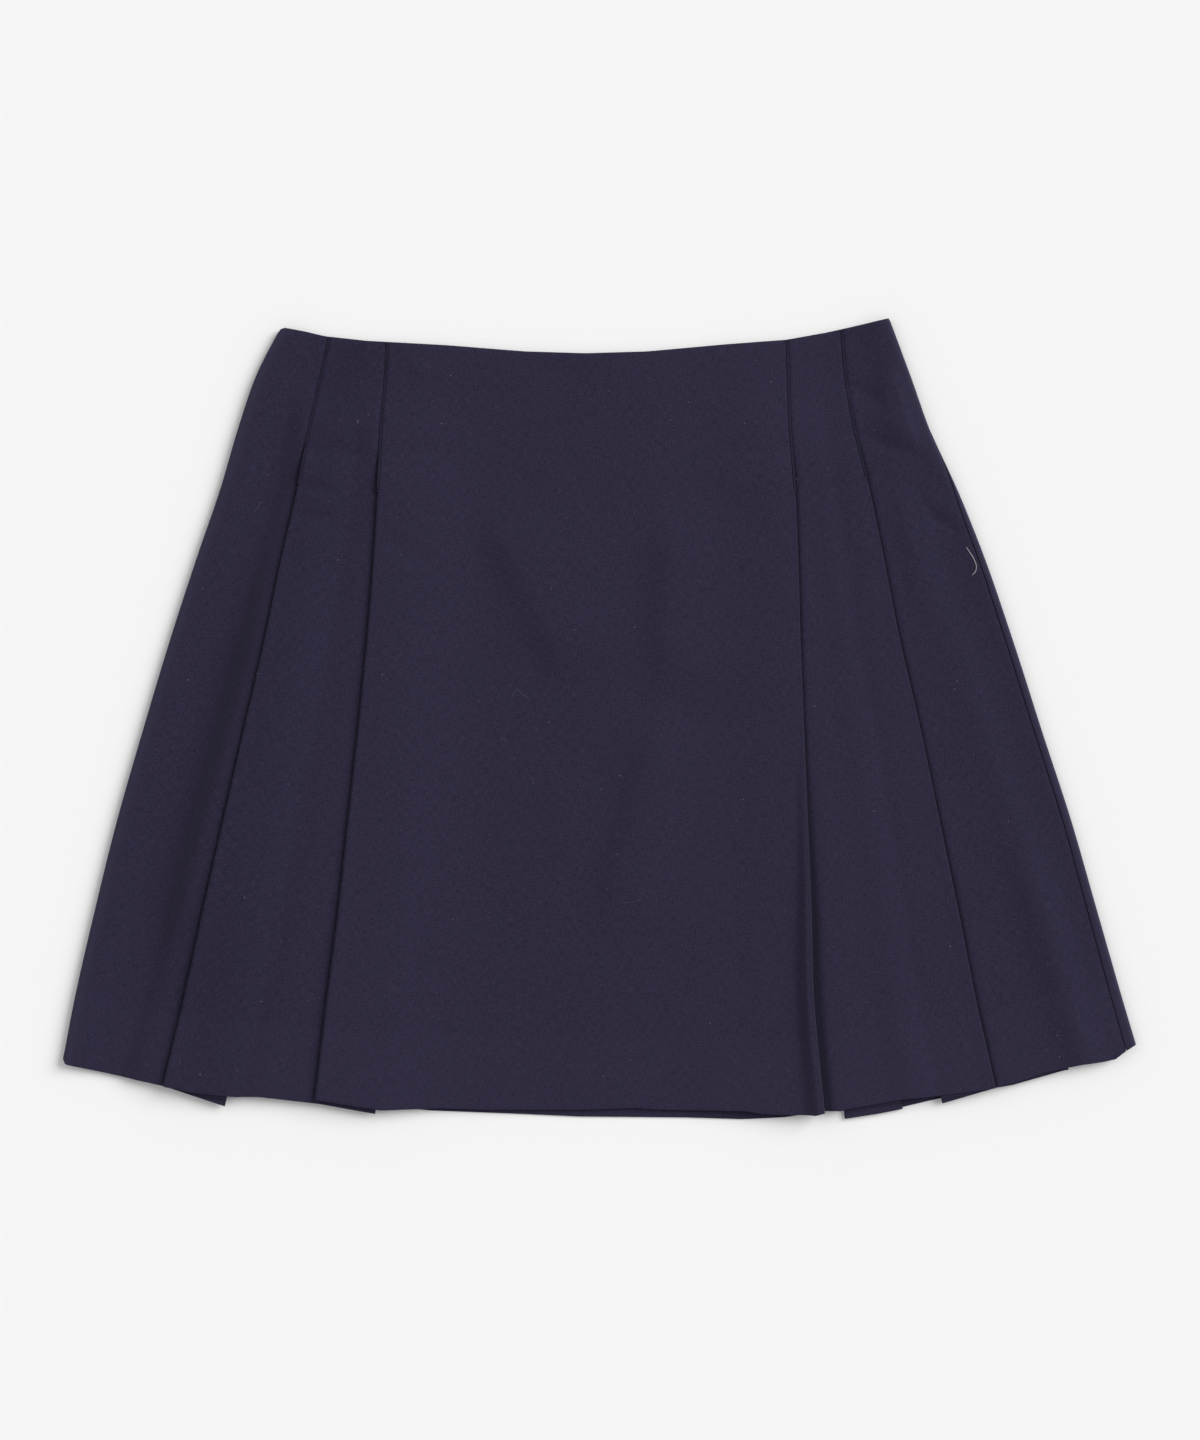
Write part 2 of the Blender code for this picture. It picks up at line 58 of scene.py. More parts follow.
CLOTH = 1.0
GAP = 0.3
SIDE_SEAM_GAP = 0.5
PLY = CLOTH + GAP
LOFT = 0.8
GROUND_PLY = CLOTH / 2
BACK_WAIST_DROP = 1.5
WAIST_HALF = 170.0

RELEASE = 0.20
RELEASE_Y = 124.0       # height of the release, where the seams end
RELEASE_DEPTH = 5.0
RISE_START = 0.13
RISE_END = 0.19
SEAM_STOP = 0.002       # the seams end this share above the release
SPRING_START = 0.48
SPRING_FULL = 0.85
FOLD_REACH = (PLY + CLOTH) / 2
LIP_SHARE = 0.25

BRIDGE_MARGIN = 2.0
BRIDGE_INNER_SLOPE = 55.0
BRIDGE_START = 0.06
BRIDGE_END = 0.13

SIDE_RADIUS = 2.2
SIDE_REACH = SIDE_RADIUS + CLOTH / 2
SIDE_SLOPE = 24.0
SIDE_INSET = 10.0
QUARTER_TURN = SIDE_RADIUS * math.pi / 2
SIDE_END = QUARTER_TURN + SIDE_INSET - SIDE_REACH

FRONT = "front"
BACK = "back"
LEFT = -1
RIGHT = 1

MIDDLE_X = 0.3
Outline = namedtuple(
    "Outline", "y left_edge left_outer left_inner right_inner right_outer right_edge")
OUTLINE = (
    Outline(223.5, -175.5, -148.5, -118.0, 105.0, 135.5, 162.5),
    Outline(192.5, -191.5, -155.5, -119.5, 106.0, 138.0, 174.0),
    Outline(162.0, -202.0, -162.0, -122.0, 107.0, 143.0, 185.0),
    Outline(128.0, -212.0, -168.5, -123.5, 109.5, 151.0, 200.5),
    Outline(94.5, -223.5, -176.0, -125.5, 111.0, 158.0, 214.0),
    Outline(44.0, -240.0, -186.0, -129.5, 112.5, 168.0, 231.5),
    Outline(-6.0, -255.0, -197.5, -134.5, 114.5, 179.5, 247.5),
    Outline(-56.5, -269.5, -209.0, -140.0, 116.5, 190.0, 264.0),
    Outline(-107.0, -282.0, -220.5, -145.5, 118.5, 200.5, 278.5),
    Outline(-157.5, -293.5, -232.0, -152.0, 120.0, 210.5, 293.0),
    Outline(-191.0, -300.0, -240.0, -156.0, 123.0, 218.0, 303.0),
    Outline(-224.5, -307.5, -248.0, -160.0, 126.5, 225.5, 313.0),
)

Point = namedtuple("Point", "x y")
WAIST = (
    Point(-184.0, 209.0), Point(-180.5, 215.0), Point(-178.5, 217.5), Point(-175.5, 218.5),
    Point(-164.0, 216.5), Point(-153.0, 214.0), Point(-130.5, 211.5), Point(-85.5, 209.0),
    Point(-41.0, 205.5), Point(-7.5, 204.5), Point(26.5, 205.5), Point(71.0, 209.5),
    Point(104.5, 212.0), Point(127.0, 216.0), Point(149.5, 221.0), Point(162.5, 224.0),
)
RIGHT_CORNER_HEM = (
    Point(281.5, -191.5), Point(288.5, -190.0), Point(293.0, -186.5), Point(300.5, -181.5),
)
FRONT_SIDE_LEFT_HEM = (
    Point(-300.0, -187.5), Point(-298.0, -193.0), Point(-243.0, -205.0), Point(-206.0, -217.5),
)
FRONT_MID_LEFT_HEM = (
    Point(-243.0, -205.0), Point(-227.0, -208.5), Point(-203.5, -211.0), Point(-190.0, -211.0),
    Point(-156.0, -215.0), Point(-123.0, -221.0),
)
FRONT_CENTRE_HEM = (
    Point(-157.5, -212.5), Point(-121.5, -218.5), Point(-88.5, -217.5), Point(-62.5, -218.5),
    Point(-11.0, -218.5), Point(18.0, -217.5), Point(34.5, -218.5), Point(82.0, -219.0),
    Point(90.5, -220.5), Point(103.5, -221.0), Point(121.0, -221.0), Point(124.0, -220.0),
)
FRONT_MID_RIGHT_HEM = (
    Point(90.0, -221.0), Point(124.0, -219.0), Point(135.5, -219.0), Point(138.0, -218.0),
    Point(168.5, -212.5), Point(188.0, -210.5), Point(221.0, -206.0),
)
FRONT_SIDE_RIGHT_HEM = (
    Point(190.0, -215.5), Point(220.0, -206.5), Point(233.0, -203.0), Point(248.5, -197.5),
    Point(269.5, -193.0),
) + RIGHT_CORNER_HEM
BACK_SIDE_LEFT_HEM = (
    Point(-300.0, -187.5), Point(-293.5, -191.0), Point(-232.0, -204.5), Point(-195.0, -208.0),
)
BACK_MID_LEFT_HEM = (Point(-265.0, -197.0), Point(-232.0, -203.5), Point(-146.0, -212.0))
BACK_CENTRE_HEM = (
    Point(-180.0, -208.0), Point(-146.0, -212.0), Point(-97.0, -219.0), Point(-44.0, -221.0),
    Point(-11.0, -222.5), Point(47.5, -223.0), Point(81.0, -224.0), Point(103.5, -223.0),
    Point(116.5, -221.0), Point(136.0, -218.0), Point(170.0, -213.5),
)
BACK_MID_RIGHT_HEM = (
    Point(136.0, -224.0), Point(157.5, -220.0), Point(187.5, -213.0), Point(231.5, -204.5),
    Point(265.0, -195.0),
)
BACK_SIDE_RIGHT_HEM = (Point(231.5, -204.0), Point(258.5, -196.0)) + RIGHT_CORNER_HEM

SeamRoll = namedtuple("SeamRoll", "share left right")
SEAM_ROLL = (
    SeamRoll(0.00, -4.5, -3.3),
    SeamRoll(0.09, -4.5, -2.2),
    SeamRoll(0.17, -4.5, 0.8),
    SeamRoll(0.25, -5.0, 4.0),
    SeamRoll(0.35, -5.0, 4.9),
    SeamRoll(0.60, -6.0, 5.5),
    SeamRoll(1.00, -7.0, 7.5),
)

BACK_SHIFT_WAIST = 3.5
BACK_SHIFT_HEM = 11.0

TAPE_STEP = PLY + 0.3
TAPE_RADIUS = SIDE_RADIUS - TAPE_STEP
TAPE_LEG = 4.5          # 0.5 more than in the solid, so that the cut is over 10 wide
TAPE_TOP = 0.01
TAPE_BOTTOM = 0.29

# ---------------------------------------------------------------------------------------------
# The soft creases, pressed into the cloth
# ---------------------------------------------------------------------------------------------

# Each runs from its top end to its bottom end, and bows to the right by `bow` at its middle. A
# ridge has a height above 0 and a trough one below 0. Its widths are those of its left and right
# banks.
Crease = namedtuple("Crease", "top_x top_y bottom_x bottom_y bow left right height")
FRONT_CREASES = (
    # The large folds: down the left side, and the two arms of the hollow in the middle.
    Crease(-167.0, 125.0, -246.0, -165.0, 0.0, 10.0, 30.0, 6.6),
    Crease(-62.0, 122.0, -10.0, 16.0, 0.0, 12.0, 32.0, 3.1),
    Crease(42.0, 128.0, 38.0, 0.0, 0.0, 12.0, 40.0, 3.0),
    Crease(40.0, 16.0, 2.0, -130.0, 0.0, 12.0, 32.0, 2.7),
    Crease(-140.0, 0.0, -180.0, -198.0, 0.0, 12.0, 16.0, 0.8),
    Crease(228.0, -40.0, 286.0, -230.0, 0.0, 12.0, 14.0, 3.2),
    # Softer ones on the centre gore.
    Crease(-24.0, -20.0, -20.0, -92.0, 0.0, 9.0, 20.0, 0.6),
    Crease(-95.0, -70.0, -107.0, -165.0, 0.0, 10.0, 10.0, -0.35),
    Crease(-46.0, 196.0, 0.0, 184.0, 3.0, 8.0, 8.0, -0.5),
    # The left hip.
    Crease(-166.0, 148.0, -124.0, 146.0, 2.0, 4.0, 4.0, -0.9),
    Crease(-170.0, 131.0, -148.0, 128.0, 0.0, 2.6, 2.6, -1.3),
    Crease(-172.0, 114.0, -146.0, 113.0, -1.0, 2.8, 2.8, -1.1),
    Crease(-122.0, 102.0, -92.0, 88.0, -1.0, 4.5, 4.5, -0.9),
    Crease(-108.0, 199.0, -92.0, 195.0, -1.5, 4.5, 4.5, 0.8),
    # The puckers at the right hip.
    Crease(158.0, 205.0, 173.0, 135.0, 2.0, 10.0, 12.0, 1.8),
    Crease(134.0, 190.0, 162.0, 178.0, -2.0, 4.0, 4.0, -0.9),
    Crease(142.0, 162.0, 190.0, 144.0, -2.0, 4.5, 4.5, -1.1),
    Crease(150.0, 172.0, 186.0, 158.0, -2.0, 6.0, 6.0, 0.8),
    Crease(182.0, 116.0, 206.0, 105.0, -2.0, 3.5, 3.5, -0.9),
    Crease(180.0, 126.0, 204.0, 118.0, -2.0, 5.0, 5.0, 0.7),
    Crease(164.0, 136.0, 184.0, 50.0, 2.0, 7.0, 12.0, 1.0),
    Crease(196.0, 70.0, 250.0, -90.0, -4.0, 10.0, 14.0, 1.3),
)
BACK_CREASES = (
    Crease(-60.0, 140.0, -34.0, 20.0, -5.0, 12.0, 12.0, 0.35),
    Crease(48.0, 90.0, 20.0, -60.0, 6.0, 14.0, 14.0, 0.3),
    Crease(-178.0, 96.0, -226.0, -90.0, -4.0, 12.0, 12.0, 0.35),
    Crease(-100.0, -40.0, -112.0, -160.0, -2.0, 10.0, 10.0, 0.25),
    Crease(178.0, 60.0, 232.0, -120.0, 4.0, 13.0, 13.0, 0.35),
    Crease(140.0, 168.0, 176.0, 152.0, -2.0, 6.0, 6.0, 0.3),
    Crease(-150.0, 160.0, -176.0, 150.0, -1.0, 5.0, 5.0, 0.25),
    Crease(88.0, -90.0, 94.0, -190.0, -3.0, 11.0, 11.0, 0.3),
)

# Painted light and shade across the skirt: the wool's colour is made darker on the left, most in
# the shaded band down its left side, and lighter on the right, where more light falls.
Tone = namedtuple("Tone", "share lighter")
PAINTED_LIGHT_ACROSS = (
    Tone(-1.00, -0.06), Tone(-0.86, -0.06), Tone(-0.80, -0.10), Tone(-0.74, -0.17),
    Tone(-0.66, -0.10), Tone(-0.58, -0.03), Tone(-0.48, 0.00), Tone(0.00, 0.00),
    Tone(0.25, 0.06), Tone(0.45, 0.06), Tone(0.60, 0.10), Tone(0.72, 0.08),
    Tone(0.80, 0.00), Tone(1.00, 0.00),
)
PAINTED_SHEEN_WIDTH = 4.5         # of the painted sheen along the side folds, which paints them paler
PAINTED_SHEEN_LEFT = 1.2
PAINTED_SHEEN_RIGHT = 0.8
PAINTED_FOLD_SHADOW = 0.36    # how much painted shadow lies beside a fold that lifts
PAINTED_FOLD_SHADOW_WIDTH = Point(1.5, 2.6)      # on the fold, and on the pleat beside it

# The slight unevenness of the cloth between its creases: waves of `length`, turned from X.
Wave = namedtuple("Wave", "length turn start height")
WAVES = (
    Wave(61.0, 0.25, 0.4, 0.07),
    Wave(47.0, 1.35, 2.1, 0.06),
    Wave(33.0, 2.20, 4.0, 0.04),
    Wave(83.0, 2.75, 1.2, 0.08),
    Wave(23.0, 0.80, 5.3, 0.025),
)

# ---------------------------------------------------------------------------------------------
# How finely the shells are made
# ---------------------------------------------------------------------------------------------

FRONT_ROW = 2.2         # about this far apart
BACK_ROW = 5.0
FRONT_COLUMN = 2.2
BACK_COLUMN = 5.0
BESIDE = 18.0           # how far out from a pleat its own columns reach
FOLD_TURNS = 10
SEAM_STEPS = (0.0, 0.05, 0.12, 0.22, 0.40, 0.65, 1.0)
LENGTH = 425.0          # about, of the skirt down its middle

SHELL = 0.96            # thickness of a shell, just under the solid's
SEAM_DIP = 0.55         # how far the cloth sinks at a seam or a line
SEAM_ROLL_WIDTH = 1.3
FAINT_SEAM = 0.35       # how much further away the lines of fainter seams are taken to be
FAINT_LEFT_FOLD = 1.6
FAINT_SIDE_SEAM = 1.3
DEEP_FOLD = 1.5         # how far the painted shade of a fold that lifts reaches over its edge
DEEP_PLEAT = 3.0        # and over the pleat beside it, where it also widens the cloth's dip
HIGHEST_SPRING = 4.0
HEM_DEPTH = 41.0        # of the turned-up hem
HEM_STEP = 0.12         # how far the hem's second ply lifts the cloth
HEM_SLOPE = 3.0         # over which it settles above the hem
WAIST_DIP = 0.5         # of a seam's dip, at the waist's edge
CREASE_FADE = 0.3       # the share of a crease's length over which each end fades
SIDE_COLUMNS = 22
SIDE_SEAM_SHARE = 0.15  # of a side's columns, which are close together beside its seam
RIM_ANGLE = 60.0        # edges sharper than this are rounded
RIM_SHARE = 0.35        # of the thickness
RIM_SEGMENTS = 2


def clamp(value):
    return np.clip(value, 0.0, 1.0)


def blend(start, end, share):
    return start + (end - start) * share


def smooth(share):
    """Go from 0 to 1 with level ends."""
    share = clamp(share)
    return share * share * (3.0 - 2.0 * share)


class Curve:
    """A smooth curve through the points of a table, and straight beyond its ends."""

    def __init__(self, places, values):
        order = np.argsort(places)
        self.places = np.array(places, dtype=float)[order]
        self.values = np.array(values, dtype=float)[order]
        self.slopes = np.gradient(self.values, self.places)

    def __call__(self, place):
        last = len(self.places) - 2
        i = np.clip(np.searchsorted(self.places, place) - 1, 0, last)
        span = self.places[i + 1] - self.places[i]
        t = clamp((place - self.places[i]) / span)
        start_pull = self.slopes[i] * span * t * (1.0 - t) ** 2
        end_pull = self.slopes[i + 1] * span * t * t * (1.0 - t)
        inside = blend(self.values[i], self.values[i + 1], smooth(t)) + start_pull - end_pull
        before = np.minimum(place - self.places[0], 0.0) * self.slopes[0]
        after = np.maximum(place - self.places[-1], 0.0) * self.slopes[-1]
        return inside + before + after


def outline_curve(column):
    return Curve([row.y for row in OUTLINE], [getattr(row, column) for row in OUTLINE])


def cornered(points):
    """A line through points that keeps its corners."""
    xs = [point.x for point in points]
    ys = [point.y for point in points]
    return lambda x: np.interp(x, xs, ys)


EDGES = {LEFT: outline_curve("left_edge"), RIGHT: outline_curve("right_edge")}
ROLLS = {
    LEFT: Curve([row.share for row in SEAM_ROLL], [row.left for row in SEAM_ROLL]),
    RIGHT: Curve([row.share for row in SEAM_ROLL], [row.right for row in SEAM_ROLL]),
}
waist_height = cornered(WAIST)
painted_light_at = Curve([tone.share for tone in PAINTED_LIGHT_ACROSS], [tone.lighter for tone in PAINTED_LIGHT_ACROSS])


def share_down(x, y):
    """How far down the skirt a place is, from 0 at the waist to 1 at an even hem."""
    centre_hem = -221.0
    side_lift = 33.0
    half_width = 300.0
    hem = centre_hem + side_lift * (x / half_width) ** 2
    waist = waist_height(x)
    return (waist - y) / (waist - hem)


# A pleat lies between its line, where the fold is, and its inner seam. The inner seam is at
# `inward` times its depth from the line. `flap_drop` is how far the flap's hem hangs below the
# gore's own at the inner seam, and `spring` how far the fold lifts off its pleat at the hem. The
# gore on top comes down again over `slope`, and the front comes down outside a pleat of the back
# over `outer_slope`.
Pleat = namedtuple("Pleat", "line inward depth flap_drop spring slope outer_slope")


def front_pleat(column, inward, depth, flap_drop, spring, slope):
    return Pleat(outline_curve(column), inward, depth, flap_drop, spring, slope, None)


def back_pleat(column, inward, depth, outer_slope):
    front_line = outline_curve(column)
    flap_drop = 1.0
    slope = 18.0

    def line(y):
        x = front_line(y)
        return x + blend(BACK_SHIFT_WAIST, BACK_SHIFT_HEM, share_down(x, y))

    return Pleat(line, inward, depth, flap_drop, 0.0, slope, outer_slope)


FRONT_PLEATS = {
    "left_outer": front_pleat("left_outer", RIGHT, 37.0, 2.0, 0.4, 34.0),
    "left_inner": front_pleat("left_inner", RIGHT, 34.5, 0.0, 0.4, 60.0),
    "right_inner": front_pleat("right_inner", LEFT, 33.5, -0.5, 4.0, 60.0),
    "right_outer": front_pleat("right_outer", LEFT, 31.5, 2.5, 0.4, 34.0),
}
BACK_PLEATS = {
    "left_outer": back_pleat("left_outer", LEFT, 23.0, 12.0),
    "left_inner": back_pleat("left_inner", LEFT, 33.0, 26.0),
    "right_inner": back_pleat("right_inner", RIGHT, 33.0, 26.0),
    "right_outer": back_pleat("right_outer", RIGHT, 33.0, 34.0),
}


def pleat_depth(pleat, y):
    share = (share_down(pleat.line(y), y) - RELEASE) / (1.0 - RELEASE)
    return blend(RELEASE_DEPTH, pleat.depth, clamp(share))


def pleat_spring(pleat, y):
    """How far the fold's edge lifts at this height."""
    share = share_down(pleat.line(y), y)
    return pleat.spring * smooth((share - SPRING_START) / (SPRING_FULL - SPRING_START))


def past_fold(pleat, x, y):
    """How far a place lies outside a pleat on the side of its fold."""
    return pleat.inward * (pleat.line(y) - x)


def past_seam(pleat, x, y):
    """How far a place lies outside a pleat on the side of its inner seam."""
    return pleat.inward * (x - pleat.line(y)) - pleat_depth(pleat, y)


def over_pleat(pleat, x, y):
    """From 0 to 1, how far the gore on top of a pleat is raised at a place."""
    outside = np.maximum(past_fold(pleat, x, y), past_seam(pleat, x, y))
    down = smooth((share_down(x, y) - RISE_START) / (RISE_END - RISE_START))
    return (1.0 - smooth(outside / pleat.slope)) * down


def bridge(pleat, x, y):
    """From 0 to 1, how far the front is raised over a pleat of the back."""
    inner = 1.0 - smooth((past_fold(pleat, x, y) - BRIDGE_MARGIN) / BRIDGE_INNER_SLOPE)
    outer = 1.0 - smooth((past_seam(pleat, x, y) - BRIDGE_MARGIN) / pleat.outer_slope)
    down = smooth((share_down(x, y) - BRIDGE_START) / (BRIDGE_END - BRIDGE_START))
    return np.minimum(inner, outer) * down


def crease_height(crease, x, y):
    along_x = crease.bottom_x - crease.top_x
    along_y = crease.bottom_y - crease.top_y
    length = math.hypot(along_x, along_y)
    from_x = x - crease.top_x
    from_y = y - crease.top_y
    t = (from_x * along_x + from_y * along_y) / length ** 2
    to_right = (from_y * along_x - from_x * along_y) / length
    aside = to_right - crease.bow * 4.0 * t * (1.0 - t)
    width = np.where(aside < 0.0, crease.left, crease.right)
    ends = smooth(t / CREASE_FADE) * smooth((1.0 - t) / CREASE_FADE)
    return crease.height * ends * np.exp(-((aside / width) ** 2))


def creases_at(creases, x, y):
    return sum(crease_height(crease, x, y) for crease in creases)


def waves_at(x, y):
    height = 0.0
    for wave in WAVES:
        along = x * math.cos(wave.turn) + y * math.sin(wave.turn)
        height = height + wave.height * np.sin(along * 2.0 * math.pi / wave.length + wave.start)
    return height


def side_rise(x, y):
    """How far a side fold holds the front up at a place."""
    full = 2.0 * SIDE_RADIUS - PLY - LOFT
    rise = 0.0
    for side, edge in EDGES.items():
        inward = side * (edge(y) - x) - SIDE_REACH
        rise = rise + full * (1.0 - smooth(inward / SIDE_SLOPE))
    return rise


def edge_calm(x, y):
    """From 0 at a side fold to 1 inside it, where creases may start."""
    inward = np.minimum(x - EDGES[LEFT](y), EDGES[RIGHT](y) - x) - SIDE_REACH
    return smooth(inward / SIDE_INSET)


def lowest_ply(face, x, y):
    """Height of the middle of a face's lowest ply."""
    calm = edge_calm(x, y)
    ground = GROUND_PLY + creases_at(BACK_CREASES, x, y) * calm
    if face == BACK:
        return ground
    over_back = np.maximum.reduce([bridge(pleat, x, y) for pleat in BACK_PLEATS.values()])
    air = LOFT + (creases_at(FRONT_CREASES, x, y) + waves_at(x, y)) * calm
    return ground + PLY + 2.0 * PLY * over_back + side_rise(x, y) + np.maximum(air, 0.0)


# ---------------------------------------------------------------------------------------------
# A gore's columns
# ---------------------------------------------------------------------------------------------

# A column runs down a gore from waist to hem: x at a height below the release, x at a height above
# it, or None where the column starts only at the release, z at a place, and its hem.
Column = namedtuple("Column", "across above height hem")
Panel = namedtuple("Panel", "name face height hem left right")


def full_column(across, height, hem):
    return Column(across, across, height, hem)


def flat_column(panel, across):
    return full_column(across, panel.height, panel.hem)


def spacing(panel):
    return FRONT_COLUMN if panel.face == FRONT else BACK_COLUMN


def steps(length, panel):
    """Shares from 0 to 1, about a column's spacing apart over this length."""
    return np.linspace(0.0, 1.0, max(2, round(length / spacing(panel)) + 1))


def pleat_place(pleat, share):
    """A place across a pleat, from its fold's axis to its seam, as a function of the height."""
    def across(y):
        axis = FOLD_REACH + pleat_spring(pleat, y) / 2.0
        return pleat.line(y) + pleat.inward * blend(axis, pleat_depth(pleat, y), share)
    return across


def folded_columns(panel, pleat):
    """Columns from the flap's seam round the fold and back over the pleat."""
    shares = steps(pleat.depth, panel)
    axis = pleat_place(pleat, 0.0)
    first = pleat_place(pleat, shares[1])

    def flap_height(x, y):
        return lowest_ply(panel.face, x, y) + PLY

    def flap_hem(share):
        return lambda x: panel.hem(x) - pleat.flap_drop * share

    def own_height(share):
        def height(x, y):
            lift = pleat_spring(pleat, y) * (1.0 - smooth(share / LIP_SHARE))
            return panel.height(x, y) + lift
        return height

    def turn(angle):
        """A column on the fold, which turns from the flap to the gore's own ply."""
        def across(y):
            reach = (PLY + pleat_spring(pleat, y)) / 2.0
            return axis(y) - pleat.inward * reach * math.sin(angle)

        def height(x, y):
            flap = flap_height(axis(y), y)
            own = own_height(0.0)(axis(y), y)
            return (flap + own) / 2.0 - (own - flap) / 2.0 * math.cos(angle)

        return Column(across, None, height, panel.hem)

    def edge_column(step):
        """From the seam, or the fold's axis below the release, to the first place inside."""
        def across(y):
            return blend(axis(y), first(y), step)

        def above(y):
            return blend(pleat.line(y) + pleat.inward * GAP / 2.0, first(y), step)

        return Column(across, above, own_height(step * shares[1]), panel.hem)

    flap = [
        Column(pleat_place(pleat, share), None, flap_height, flap_hem(share))
        for share in shares[::-1]
    ]
    fold = [turn(math.pi * k / FOLD_TURNS) for k in range(1, FOLD_TURNS)]
    own = [edge_column(step) for step in SEAM_STEPS]
    own += [
        full_column(pleat_place(pleat, share), own_height(share), panel.hem)
        for share in shares[2:]
    ]
    if panel.face == FRONT:
        own += beside_columns(panel, pleat_place(pleat, 1.0), pleat.inward)
    return flap + fold + own


def beside_columns(panel, start, direction):
    """Columns beside a pleat, where a raised gore starts to come down."""
    def at(share):
        return lambda y: start(y) + direction * BESIDE * share
    return [flat_column(panel, at(share)) for share in steps(BESIDE, panel)[1:]]


def under_columns(panel, pleat):
    """Columns from the inner seam out to the line, where the gore comes into sight."""
    def beside(offset):
        return lambda y: pleat.line(y) - pleat.inward * offset

    hidden = [
        Column(pleat_place(pleat, share), None, panel.height, panel.hem)
        for share in steps(pleat.depth, panel)[::-1]
    ]
    shown = [
        flat_column(panel, beside(blend(GAP / 2.0, RELEASE_DEPTH, step))) for step in SEAM_STEPS]
    if panel.face == BACK:
        shown += beside_columns(panel, beside(RELEASE_DEPTH), -pleat.inward)
    return hidden + shown


def side_columns(panel, side):
    """Columns from the side seam round the side fold to where the flat cloth starts."""
    edge = EDGES[side]
    toward = 1.0 if panel.face == FRONT else -1.0

    def turn(share):
        def place(y):
            seam = ROLLS[side](share_down(edge(y), y)) + toward * SIDE_SEAM_GAP / 2.0
            return blend(seam, toward * SIDE_END, share)

        def across(y):
            around = place(y)
            on_fold = np.abs(around) < QUARTER_TURN
            inset_on_fold = SIDE_REACH - SIDE_RADIUS * np.cos(around / SIDE_RADIUS)
            inset_beyond = SIDE_REACH + np.abs(around) - QUARTER_TURN
            return edge(y) - side * np.where(on_fold, inset_on_fold, inset_beyond)

        def height(x, y):
            around = place(y)
            top = lowest_ply(FRONT, edge(y) - side * SIDE_REACH, y)
            middle = (top + GROUND_PLY) / 2.0
            turned = middle + (top - middle) * np.sin(around / SIDE_RADIUS)
            beyond = np.where(around > 0.0, lowest_ply(FRONT, x, y), GROUND_PLY)
            return np.where(np.abs(around) < QUARTER_TURN, turned, beyond)

        return full_column(across, height, panel.hem)

    shares = [step * SIDE_SEAM_SHARE for step in SEAM_STEPS]
    shares += list(np.linspace(SIDE_SEAM_SHARE, 1.0, SIDE_COLUMNS)[1:])
    return [turn(share) for share in shares]


def middle_columns(panel, left, right):
    """Columns spread evenly between the last ones of a gore's two sides."""
    def at(share):
        return lambda y: blend(left.across(y), right.across(y), share)
    widest = abs(float(right.across(-LENGTH / 2) - left.across(-LENGTH / 2)))
    return [flat_column(panel, at(share)) for share in steps(widest, panel)[1:-1]]


def make_panel(name, face, left, right, hem):
    climbs = [
        pleat for pleat, side in ((left, LEFT), (right, RIGHT))
        if isinstance(pleat, Pleat) and folds_at(pleat, side) == (face == FRONT)
    ]

    def height(x, y):
        lift = sum(over_pleat(pleat, x, y) for pleat in climbs)
        return lowest_ply(face, x, y) + 2.0 * PLY * lift

    return Panel(name, face, height, cornered(hem), left, right)


def folds_at(pleat, side):
    """Whether a gore folds at the pleat on this side of it, or else passes under it."""
    return pleat.inward == -side


def boundary_columns(panel, boundary, side):
    if boundary is None:
        return side_columns(panel, side)
    if folds_at(boundary, side):
        return folded_columns(panel, boundary)
    return under_columns(panel, boundary)


def waist_of(face, x):
    if face == FRONT:
        return waist_height(x)
    return waist_height(x) - BACK_WAIST_DROP * clamp(1.0 - (x / WAIST_HALF) ** 2)


def column_ends(column, face):
    """The heights of a column's waist and hem ends."""
    top = LENGTH / 2
    bottom = -LENGTH / 2
    closings = 8
    for _ in range(closings):
        top = float(waist_of(face, (column.above or column.across)(top)))
        bottom = float(column.hem(column.across(bottom)))
    return top, bottom


def row_shares(row):
    """Shares down a gore, with a row where the seams end and one at the release."""
    above = np.linspace(0.0, RELEASE - SEAM_STOP, round(LENGTH * RELEASE / row) + 1)
    below = np.linspace(RELEASE, 1.0, round(LENGTH * (1.0 - RELEASE) / row) + 1)
    return np.concatenate([above, below])


# ---------------------------------------------------------------------------------------------
# From columns to a shell
# ---------------------------------------------------------------------------------------------

# Places on the middle of the cloth: rows by columns by x, y, z. `there` says which exist.
Grid = namedtuple("Grid", "places there")


def lay_grid(columns, face, rows, release_row):
    places = np.zeros((len(rows), len(columns), 3))
    there = np.ones((len(rows), len(columns)), dtype=bool)
    for c, column in enumerate(columns):
        top, bottom = column_ends(column, face)
        y = blend(top, bottom, rows)
        x = column.across(y)
        if column.above is None:
            there[:release_row, c] = False
        else:
            x[:release_row] = column.above(y[:release_row])
        places[:, c] = np.column_stack([x, y, column.height(x, y)])
    return Grid(places, there)


def distance_across(grid):
    """Distance along each row from the first and from the last place that is there."""
    step = np.diff(grid.places, axis=1)
    step[:, :, 1] = 0.0
    length = np.linalg.norm(step, axis=2)
    length[~(grid.there[:, 1:] & grid.there[:, :-1])] = 0.0
    from_left = np.concatenate([np.zeros((len(length), 1)), np.cumsum(length, axis=1)], axis=1)
    return from_left, from_left[:, -1:] - from_left


def distance_down(grid):
    step = np.linalg.norm(np.diff(grid.places, axis=0), axis=2)
    return np.concatenate([np.zeros((1, step.shape[1])), np.cumsum(step, axis=0)], axis=0)


def outward(grid):
    """The way out of the skirt at each place."""
    across = np.gradient(grid.places, axis=1)
    down = np.gradient(grid.places, axis=0)
    out = np.cross(down, across)
    out /= np.maximum(np.linalg.norm(out, axis=2, keepdims=True), 1e-9)
    return out


def whole_cells(grid):
    """Which cells of the grid have all four corners."""
    there = grid.there
    return there[:-1, :-1] & there[1:, :-1] & there[1:, 1:] & there[:-1, 1:]


